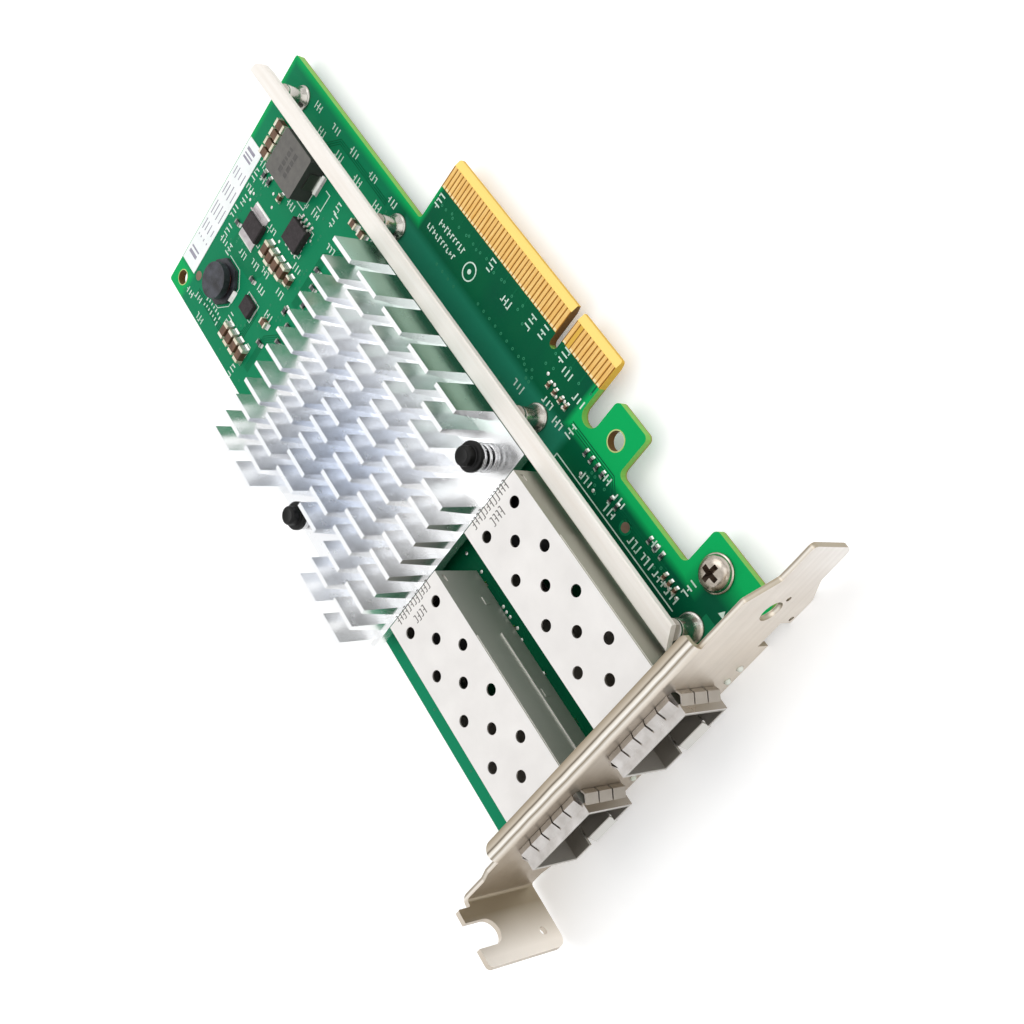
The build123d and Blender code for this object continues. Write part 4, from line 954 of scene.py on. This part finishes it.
def board_print():
    """The white marking on the component side: lines, corners, a ring and groups of bars."""
    mesh = bmesh.new()
    z0, z1 = side_z(1)
    for line in LINES:
        strip(mesh, line, LINE_W, z0, z1)
    for first, last, count in MARK_ROWS:
        for x, y in spaced(first, last, count):
            mark(mesh, x, y, 0, 1)
    for x, y, angle in MARKS:
        mark(mesh, x, y, angle, 1)
    for start, row, count in STROKE_ROWS:
        for i in range(count):
            x = start - i * STROKE_STEP
            bar(mesh, x, row, rng.choice((0.7, 0.95, 1.2)), STROKE_W, 90, z0, z1)
            bar(mesh, x - FOOT_SHIFT, row + rng.choice((-0.4, 0.0, 0.4)), FOOT_L, FOOT_W, 0,
                z0, z1)
    ring(mesh, *PLAIN_RING, RING_D - 0.5, RING_D, z0, z1, 32)
    ring(mesh, *PLAIN_RING, 0, 0.9, z0, z1, 16)
    prism(mesh, FIRST_LEAD_ARROW, z0, z1)
    for node, gap in CORNERED.items():
        corner_marks(mesh, span(node), gap, 1)
    low, high = span("drum_inductor_base")
    x0, y0, x1, y1 = low.x - DRUM_GAP, low.y - DRUM_GAP, high.x + DRUM_GAP, high.y + DRUM_GAP
    for line in ([(x0, y1 - DRUM_CUT), (x0, y0 + DRUM_CUT), (x0 + DRUM_CUT, y0),
                  (x1 - DRUM_CUT, y0)],
                 [(x0, y1 - DRUM_CUT), (x0 + DRUM_CUT, y1), (x1 - DRUM_CUT, y1),
                  (x1, y1 - DRUM_CUT)]):
        strip(mesh, line, OUTLINE_W, z0, z1)
    for row in TOP_BARS_ROWS:
        for i in range(TOP_BARS):
            lift = 0.3 if i in (0, TOP_BARS - 1) else 0
            bar(mesh, TOP_BARS_X - i, row + lift, rng.choice((0.6, 0.8, 1.0)), 0.3, 90, z0, z1)
    piece("board_print_component_side", mesh, INK)


SOLDER_MARKS_X = range(-50, 86, 9)
SOLDER_MARKS_Y = (24, 34, 46, 60)
SOLDER_MARKS_SHARE = 0.62


def solder_print():
    """Marks on the solder side, in plain rows."""
    mesh = bmesh.new()
    for x in SOLDER_MARKS_X:
        for y in SOLDER_MARKS_Y:
            if rng.random() < SOLDER_MARKS_SHARE:
                mark(mesh, x + rng.uniform(-1.5, 1.5), y + rng.uniform(-1, 1),
                     rng.choice((0, 90)), -1)
    for light in lumps("status_lights"):
        corner_marks(mesh, light, 0.4, -1)
    piece("board_print_solder_side", mesh, INK)


def copper_layers():
    """Tracks and pours that stand up under the mask, and the tented vias, on both sides."""
    for side, word in ((1, "component"), (-1, "solder")):
        tracks = bmesh.new()
        contact_tracks(tracks, side)
        z0, z1 = side_z(side, TRACK_T)
        for route, count in ROUTES[side]:
            bundle(tracks, route, count, TRACK_PITCH, TRACK_W, z0, z1)
        piece("tracks_%s_side" % word, tracks, TRACK_MASK)
        pours = bmesh.new()
        z0, z1 = side_z(side, POUR_T)
        for corners in POURS[side]:
            prism(pours, corners, z0, z1)
        piece("copper_pours_%s_side" % word, pours, POUR_MASK)
        place_vias(side)
        rings = bmesh.new()
        z0, z1 = side_z(side, VIA_T)
        for x, y in vias[side]:
            ring(rings, x, y, VIA_HOLE, VIA_D, z0, z1, 12)
        piece("via_rings_%s_side" % word, rings, VIA_MASK)


DOT_R = 0.33
DOT_TOP_R = 0.2
BARE_RING = 0.4           # a ring's diameter over that of its hole or disc
TARGET_RING = 0.8


def pads():
    """Solder dots on the test pads, bare copper discs with a ring of pour round each, and the
    ring of bare laminate at each hole."""
    mesh = bmesh.new()
    z0, z1 = side_z(1, DOT_T)
    for x, y in SPOTS:
        turned(mesh, [(0, z0), (DOT_R, z0), (DOT_R, z1 - 0.02), (DOT_TOP_R, z1 + 0.05),
                      (0, z1 + 0.07)], x, y, 12)
    piece("test_pads", mesh, SOLDER, smooth=True)
    mesh = bmesh.new()
    for x, y, diameter in TARGETS:
        ring(mesh, x, y, 0, diameter, z0, z1 - 0.02, 28)
    piece("camera_targets", mesh, TARGET_COPPER)
    mesh = bmesh.new()
    for x, y, diameter in (HOOK_HOLE, REAR_HOLE):
        for side in (1, -1):
            z0, z1 = side_z(side, TRACK_T)
            ring(mesh, x, y, diameter, diameter + BARE_RING, z0, z1, 40)
    piece("bare_rings_at_holes", mesh, BARE_LAMINATE)
    mesh = bmesh.new()
    z0, z1 = side_z(1, TRACK_T)
    for x, y, diameter in TARGETS:
        ring(mesh, x, y, diameter, diameter + TARGET_RING, z0, z1, 28)
    piece("target_rings", mesh, POUR_MASK)


def wedge(mesh, x, y, along, out, height, width, z, up):
    """A concave solder slope standing against a face at x, y, reaching out along a direction."""
    side = Vector((-along.y, along.x))
    profile = [(-0.05, 0), (out, 0), (out, height * 0.06), (out * 0.45, height * 0.3),
               (out * 0.12, height * 0.72), (0, height), (-0.05, height)]
    skin(mesh, [[mesh.verts.new((*(Vector((x, y)) + along * a + side * s * width / 2), z + up * b))
                 for a, b in profile] for s in (-1, 1)], capped=True)


def chip_fillets():
    """Solder slopes at the ends of every chip capacitor and resistor, found from the frame."""
    mesh = bmesh.new()
    for ends, bodies in (("capacitor_ends", "ceramic_capacitors"),
                         ("resistor_ends", "chip_resistors"),
                         ("solder_side_capacitor_ends", "solder_side_capacitors")):
        centres = [(low + high) / 2 for low, high in lumps(bodies)]
        for low, high in lumps(ends):
            centre = (low + high) / 2
            body = min(centres, key=lambda c: (c - centre).length)
            away = centre - body
            if abs(away.x) > abs(away.y):
                along = Vector((math.copysign(1, away.x), 0))
                width = high.y - low.y
                face = Vector((high.x if along.x > 0 else low.x, centre.y))
            else:
                along = Vector((0, math.copysign(1, away.y)))
                width = high.x - low.x
                face = Vector((centre.x, high.y if along.y > 0 else low.y))
            below = centre.z < SOLDER_Z
            tall = high.z - low.z
            wedge(mesh, face.x, face.y, along, 0.16 + tall * 0.28, tall * 0.7, width * 1.02,
                  SOLDER_Z if below else FACE_Z, -1 if below else 1)
    piece("chip_part_solder", mesh, SOLDER)


def lead_solder():
    """Solder at the flat leads of the driver, the diode's terminals, the inductor's clips, the
    drum's two feet and two sides of the small chip."""
    mesh = bmesh.new()
    for body, leads, out, height, width in (
            ("driver_chip", "driver_chip_leads", 0.35, 0.16, 0.62),
            ("rectifier_diode", "rectifier_terminals", 0.45, 0.2, 5.9)):
        edge = span(body)[0].y
        for low, high in lumps(leads):
            face, away = (low.y, -1) if low.y < edge else (high.y, 1)
            wedge(mesh, (low.x + high.x) / 2, face, Vector((0, away)), out, height, width,
                  FACE_Z, 1)
    low, high = span("power_inductor")
    middle = (low.x + high.x) / 2
    for low, high in lumps("power_inductor_clips"):
        centre = (low + high) / 2
        face, away = (low.x, -1) if centre.x < middle else (high.x, 1)
        wedge(mesh, face, centre.y, Vector((away, 0)), 1.0, 0.5, 4.2, FACE_Z, 1)
    low, high = span("drum_inductor_base")
    for face, away in ((low.x, -1), (high.x, 1)):
        wedge(mesh, face, (low.y + high.y) / 2, Vector((away, 0)), 0.8, 0.55, 2.6, FACE_Z, 1)
    low, high = span("timing_chip")
    centre = (low + high) / 2
    for x, y, angle in ((low.x - 0.45, centre.y, 90), (centre.x, low.y - 0.45, 0)):
        bar(mesh, x, y, 2.6, 0.34, angle, FACE_Z - 0.01, FACE_Z + 0.12)
    piece("lead_solder", mesh, SOLDER)


def cage_joints():
    """A solder cone round each cage pin on the solder side."""
    mesh = bmesh.new()
    for name in ("cage_a", "cage_b"):
        below = [v.co / MM for v in NODES[name].data.vertices if v.co.z / MM < SOLDER_Z - 0.5]
        centres = []
        for point in below:
            if not any((point - c).length < 1.2 for c in centres):
                near = [p for p in below if (p - point).length < 1.2]
                centres.append(sum(near, Vector()) / len(near))
        for centre in centres:
            turned(mesh, [(0, SOLDER_Z), (0.95, SOLDER_Z), (0.93, SOLDER_Z - 0.06),
                          (0.66, SOLDER_Z - 0.2), (0.5, SOLDER_Z - 0.5), (0.42, SOLDER_Z - 0.8),
                          (0, SOLDER_Z - 0.84)], centre.x, centre.y, 20)
    piece("cage_pin_solder", mesh, SOLDER, smooth=True)


def middles(node):
    """Centres in plan of a node's separate solids."""
    return [((low.x + high.x) / 2, (low.y + high.y) / 2) for low, high in lumps(node)]


def spacers():
    """Turned spacers with a rolled foot and a soft solder slope up to the barrel."""
    low, high = span("stiffener_posts")
    mesh = bmesh.new()
    foot = (high.y - low.y) / 2
    barrel = 0.66 * foot
    slope_top = 1.8
    profile = [(0, FACE_Z), (foot, FACE_Z), (foot, 0.28), (foot - 0.06, 0.4), (foot - 0.18, 0.5)]
    for i in range(9):
        t = i / 8
        profile.append((barrel + (foot - 0.28 - barrel) * (1 - t) ** 1.5,
                        0.56 + (slope_top - 0.56) * t))
    profile += [(barrel, high.z - 0.6), (barrel - 0.06, high.z - 0.5), (barrel, high.z - 0.4),
                (barrel, high.z), (0, high.z)]
    for x, y in middles("stiffener_posts"):
        turned(mesh, profile, x, y, 48)
    piece("turned_spacers", mesh, TINNED_BRASS, smooth=True,
          stands_for=("stiffener_posts",))


PIN_FLANGE_D = 5.2
PIN_FLANGE_T = 0.95
PIN_BOSS_D = 3.5
PIN_SHAFT_D = 2.4
PIN_BARB_D = 3.6


def push_pins():
    """Moulded pins: barbed tip, shaft, flange with softened edges, and a dished round boss."""
    low, high = span("push_pins")
    flange, boss, shaft = PIN_FLANGE_D / 2, PIN_BOSS_D / 2, PIN_SHAFT_D / 2
    barb = PIN_BARB_D / 2
    top, under = high.z, span("push_pin_springs")[1].z
    rim = under + PIN_FLANGE_T
    profile = [(0, low.z), (0.62, low.z), (0.8, low.z + 0.1), (barb - 0.02, SOLDER_Z - 0.12),
               (barb - 0.06, SOLDER_Z - 0.02), (shaft, SOLDER_Z - 0.01), (shaft, under),
               (flange - 0.1, under), (flange, under + 0.1), (flange, rim - 0.25),
               (flange - 0.08, rim - 0.1), (flange - 0.25, rim), (boss + 0.12, rim),
               (boss, rim + 0.12), (boss, top - 0.4), (boss - 0.1, top - 0.16),
               (boss - 0.34, top), (boss - 0.6, top), (boss - 0.75, top - 0.1), (0, top - 0.14)]
    mesh = bmesh.new()
    for x, y in middles("push_pins"):
        turned(mesh, profile, x, y, 48)
    piece("moulded_push_pins", mesh, NYLON, smooth=True,
          stands_for=("push_pins",))


SPRING_D = 4.9
SPRING_WIRE_D = 0.62
SPRING_TURNS = 3.6        # with the closed turns
CLOSED_TURNS = 0.7        # at each end
STEPS_PER_TURN = 40
WIRE_SIDES = 10


def springs():
    """Round-wire compression springs, their end turns closed flat."""
    low, high = span("push_pin_springs")
    mesh = bmesh.new()
    radius = (SPRING_D - SPRING_WIRE_D) / 2
    count = round(SPRING_TURNS * STEPS_PER_TURN)
    rise = high.z - low.z - SPRING_WIRE_D
    closed = CLOSED_TURNS / SPRING_TURNS
    up = Vector((0, 0, 1))
    for x, y in middles("push_pin_springs"):
        loops = []
        for i in range(count + 1):
            angle = 2 * math.pi * i / STEPS_PER_TURN
            lift = min(1.0, max(0.0, (i / count - closed) / (1 - 2 * closed)))
            out = Vector((math.cos(angle), math.sin(angle), 0))
            centre = Vector((x, y, low.z + SPRING_WIRE_D / 2 + rise * lift)) + out * radius
            loops.append([mesh.verts.new(centre + out * a + up * b)
                          for a, b in circle(0, 0, SPRING_WIRE_D / 2, WIRE_SIDES)])
        skin(mesh, loops, capped=True)
    piece("wound_push_pin_springs", mesh, SPRING_WIRE, smooth=True,
          stands_for=("push_pin_springs",))


def drum_winding():
    """The wound copper between the drum's rims: stacked turns, as a scalloped ring."""
    low, high = span("drum_inductor_winding")
    centre = (low + high) / 2
    turns, arc = 4, 6
    wire = (high.z - low.z) / turns
    outer = (high.x - low.x) / 2 - wire / 2
    profile = [(2.0, low.z)]
    for turn in range(turns):
        middle = low.z + wire * (turn + 0.5)
        for k in range(arc + 1):
            angle = -math.pi / 2 + math.pi * k / arc
            profile.append((outer + wire / 2 * math.cos(angle),
                            middle + wire / 2 * math.sin(angle)))
    profile += [(2.0, high.z), (2.0, low.z)]
    mesh = bmesh.new()
    turned(mesh, profile, centre.x, centre.y, 48)
    bmesh.ops.remove_doubles(mesh, verts=mesh.verts, dist=1e-4)
    piece("copper_turns", mesh, COPPER_WIRE, smooth=True,
          stands_for=("drum_inductor_winding",))


HEAD_R = 3.05
HEAD_RIM_Z = 0.46
SHANK_R = 1.45
DOME_STEPS = 8
# The punched cross tapers: height over the screw's top, half length and half width of each arm
PUNCH_STEPS = ((0.3, 1.75, 0.47), (-0.45, 1.4, 0.4), (-1.5, 0.4, 0.34))


def screw_heads():
    """Pan heads with a rolled rim, a domed top and a tapered cross recess, on their shanks."""
    low, high = span("bracket_screws")
    top = high.z
    profile = [(0, low.z), (SHANK_R - 0.2, low.z), (SHANK_R, low.z + 0.2), (SHANK_R, 0.0),
               (HEAD_R, 0.0), (HEAD_R, 0.3), (HEAD_R - 0.1, 0.42), (HEAD_R - 0.22, HEAD_RIM_Z)]
    for i in range(1, DOME_STEPS + 1):
        turn = i / DOME_STEPS * math.pi / 2
        profile.append(((HEAD_R - 0.25) * max(0.0, math.cos(turn)) ** 0.75,
                        HEAD_RIM_Z + (top - HEAD_RIM_Z) * math.sin(turn)))
    profile[-1] = (0, top)
    body = bmesh.new()
    punch = bmesh.new()
    for x, y in middles("bracket_screws"):
        turned(body, profile, x, y, 64)
        for angle in (0, 90):
            along, across = heading(angle)
            skin(punch, [[punch.verts.new((*(Vector((x, y)) + along * a * length
                                             + across * b * width), top + rise))
                          for a, b in CORNERS] for rise, length, width in PUNCH_STEPS],
                 capped=True)
    # the recess faces take a darker brown finish as painted shade
    cross = stand("cross_recess", punch, RECESS_PAINTED_SHADE)
    made = piece("cross_recess_screws", body, SCREW_STEEL, smooth=True,
                 stands_for=("bracket_screws",))
    cut = made.modifiers.new("recess", "BOOLEAN")
    for key, value in {"operation": "DIFFERENCE", "solver": "EXACT", "use_self": True,
                       "object": cross, "material_mode": "TRANSFER"}.items():
        setattr(cut, key, value)
    graph = bpy.context.evaluated_depsgraph_get()
    shaped = bpy.data.meshes.new_from_object(made.evaluated_get(graph))
    made.modifiers.clear()
    made.data = shaped
    shaped.set_sharp_from_angle(angle=SHARP)
    bpy.data.objects.remove(cross)


SKIRT_T = 0.12
SKIRT_LOW = 4.0
SKIRT_LIP = 0.36
SKIRT_REAR = -29.0
SKIRT_TABS_X = (-22.0, -41.0)
SKIRT_TAB_HALF = 0.8
SKIRT_TAB_Z = (2.0, 3.0)
CAGE_FRONT_IN = 1.0


def cage_skirts():
    """The upper shell of each cage, folded down over the side walls to a raised edge, with
    pressed tabs that show through the wall below it."""
    mesh = bmesh.new()
    front = FRONT_X + CAGE_FRONT_IN
    for low, high in CAGES:
        for y, out in ((low.y, -1), (high.y, 1)):
            skirt = sorted((y, y + out * SKIRT_T))
            lip = sorted((y, y + out * SKIRT_LIP))
            slab(mesh, front, SKIRT_REAR, *skirt, SKIRT_LOW, high.z - 0.25)
            slab(mesh, front, SKIRT_REAR, *lip, SKIRT_LOW - 0.16, SKIRT_LOW + 0.1)
            for x in SKIRT_TABS_X:
                slab(mesh, x - SKIRT_TAB_HALF, x + SKIRT_TAB_HALF, *skirt, *SKIRT_TAB_Z)
    piece("cage_side_skirts", mesh, TIN_SHEET)


LENS_D = 1.08
# How far the lens stands out of its light, and its share of the full diameter there
LENS_PROFILE = ((-0.2, 1.0), (2.0, 1.0), (2.25, 0.9), (2.42, 0.66), (2.5, 0.3))


def light_lenses():
    """Status lights with a round lens that reaches into its hole in the bracket."""
    mesh = bmesh.new()
    for low, high in lumps("status_lights"):
        slab(mesh, low.x, high.x, low.y, high.y, low.z, high.z)
        centre = (low + high) / 2
        skin(mesh, [[mesh.verts.new((low.x - reach, *point))
                     for point in circle(centre.y, centre.z, LENS_D / 2 * share, 20)]
                    for reach, share in LENS_PROFILE], capped=True)
    piece("lensed_status_lights", mesh, LIGHT_LENS, smooth=True,
          stands_for=("status_lights",))


PRINT_T = 0.015           # print on the label and on the inductor
LABEL_MARGIN = 6.5        # from the label's ends to its columns of bars
LABEL_COLUMNS = (0.2, 0.44, 0.66, 0.84)              # shares of the label's width
LINE_MIDDLE = 0.575
LINE_SHARE = 0.55


def label_print():
    """Plain bars printed on the label, across both ends and in columns between them."""
    mesh = bmesh.new()
    low, high = span("rear_label")
    z0, z1 = high.z - SUNK, high.z + PRINT_T
    width = high.x - low.x
    length = high.y - low.y
    for y, thick in ((2.0, 0.7), (3.1, 0.35), (3.9, 0.5), (length - 2.6, 0.8),
                     (length - 3.8, 0.4)):
        bar(mesh, low.x + width * LINE_MIDDLE, low.y + y, width * LINE_SHARE, thick, 0, z0, z1)
    y = LABEL_MARGIN - 0.3
    while y < length - LABEL_MARGIN:
        run = min(rng.choice((2.6, 3.8, 5.2)), length - LABEL_MARGIN - y)
        for share in LABEL_COLUMNS:
            if rng.random() < 0.85:
                bar(mesh, low.x + width * share, low.y + y + run / 2, run * rng.uniform(0.6, 1.0),
                    0.26, 90, z0, z1)
        y += run + 1.1
    piece("label_bars", mesh, PRINT_WAX)


LASER_START, LASER_END = -2.6, 2.4
LASER_W = 1.1
LASER_GAP = 0.3


def inductor_marking():
    """Two rows of plain bars burnt into the top of the inductor block."""
    low, high = span("power_inductor")
    middle = (low + high) / 2
    mesh = bmesh.new()
    for row in (-1.0, 1.0):
        y = LASER_START
        while y < LASER_END:
            run = rng.choice((0.5, 0.9, 1.2))
            bar(mesh, middle.x + row, middle.y + y + run / 2, run, LASER_W, 90, high.z - SUNK,
                high.z + PRINT_T)
            y += run + LASER_GAP
    piece("inductor_marking", mesh, LASER_MARK)


# Rows of strokes on each cage: place along X, number of strokes
JETTED_ROWS = ((-15.9, 12), (-18.4, 4))
JETTED_STEP = 0.82
JETTED_T = 0.012
JETTED_W = 0.17
JETTED_FOOT = (0.4, 0.15)            # length and width


def jetted_strokes():
    """Two rows of short plain strokes on the top of each cage."""
    mesh = bmesh.new()
    for low, high in CAGES:
        middle = (low.y + high.y) / 2
        z0, z1 = high.z - SUNK, high.z + JETTED_T
        for row, count in JETTED_ROWS:
            for i in range(count):
                y = middle + (i - (count - 1) / 2) * JETTED_STEP
                tall = rng.choice((1.3, 1.6, 1.8))
                bar(mesh, row, y, tall, JETTED_W, 0, z0, z1)
                for foot in rng.sample((-0.5, 0.0, 0.5), 2):
                    bar(mesh, row + foot * tall, y + JETTED_FOOT[0] / 2, *JETTED_FOOT, 90, z0, z1)
    piece("jetted_strokes", mesh, JETTED_INK)


copper_layers()
board_print()
solder_print()
pads()
chip_fillets()
lead_solder()
cage_joints()
spacers()
push_pins()
springs()
drum_winding()
screw_heads()
cage_skirts()
label_print()
inductor_marking()
light_lenses()
jetted_strokes()


# Floor, light and camera

FLOOR_Z = LOWEST_Z - 0.02
FLOOR_SIZE = 3000.0
sheet = bmesh.new()
bar(sheet, 0, 0, FLOOR_SIZE, FLOOR_SIZE, 0, FLOOR_Z - 5.0, FLOOR_Z)
floor = stand("floor", sheet, floor_paper())


def soft_box(name, place, target, size, power, mirrored=True):
    """A square lamp, in mm, turned to a target.  Unless it is mirrored it leaves no glare on
    metal."""
    lamp = bpy.data.lights.new(name, "AREA")
    lamp.shape = "SQUARE"
    lamp.size = size * MM
    lamp.energy = power
    made = bpy.data.objects.new(name, lamp)
    made.location = Vector(place) * MM
    made.rotation_mode = "QUATERNION"
    made.rotation_quaternion = (Vector(target) - Vector(place)).to_track_quat("-Z", "Y")
    made.visible_glossy = mirrored
    bpy.context.scene.collection.objects.link(made)


soft_box("key_soft_box", (380, 440, 720), (10, 30, 0), 1000, 3.8, False)
soft_box("side_soft_box", (-550, -550, 450), (0, 30, 0), 900, 1.8)
soft_box("fin_soft_box", (460, -440, 680), (10, 30, 0), 700, 1.9)

world = bpy.data.worlds.new("white_studio")
bpy.context.scene.world = world
world.use_nodes = True
sky = world.node_tree
sky.nodes.clear()
SKY_FILL = 0.6
SKY_SEEN = 1.0
strength = add(sky, "ShaderNodeMapRange", {"Value": seen_rays(sky), "To Min": SKY_FILL,
                                           "To Max": SKY_SEEN}).outputs["Result"]
backdrop = add(sky, "ShaderNodeBackground", {"Color": ink("#FFFFFF"), "Strength": strength})
add(sky, "ShaderNodeOutputWorld", {"Surface": backdrop.outputs[0]})

CAMERA_PLACE = Vector((-123.31, -76.13, 169.64))
CAMERA_TARGET = Vector((-13.66, 31.65, 0.0))
CAMERA_ROLL = 87.563      # degrees, from the horizon to the picture's upright
CAMERA_LENS = 49.53
lens = bpy.data.cameras.new("camera")
lens.lens = CAMERA_LENS
lens.sensor_width = 36.0
lens.clip_start = 0.01
lens.clip_end = 20.0
camera = bpy.data.objects.new("camera", lens)
forward = (CAMERA_TARGET - CAMERA_PLACE).normalized()
level = forward.cross(Vector((0, 0, 1))).normalized()
upright = level.cross(forward)
roll = math.radians(CAMERA_ROLL)
picture_up = upright * math.cos(roll) + level * math.sin(roll)
picture_right = forward.cross(picture_up)
turn = Matrix((picture_right, picture_up, -forward)).transposed().to_4x4()
camera.matrix_world = Matrix.Translation(CAMERA_PLACE * MM) @ turn
bpy.context.scene.collection.objects.link(camera)
bpy.context.scene.camera = camera
bpy.context.scene.view_settings.view_transform = "Standard"
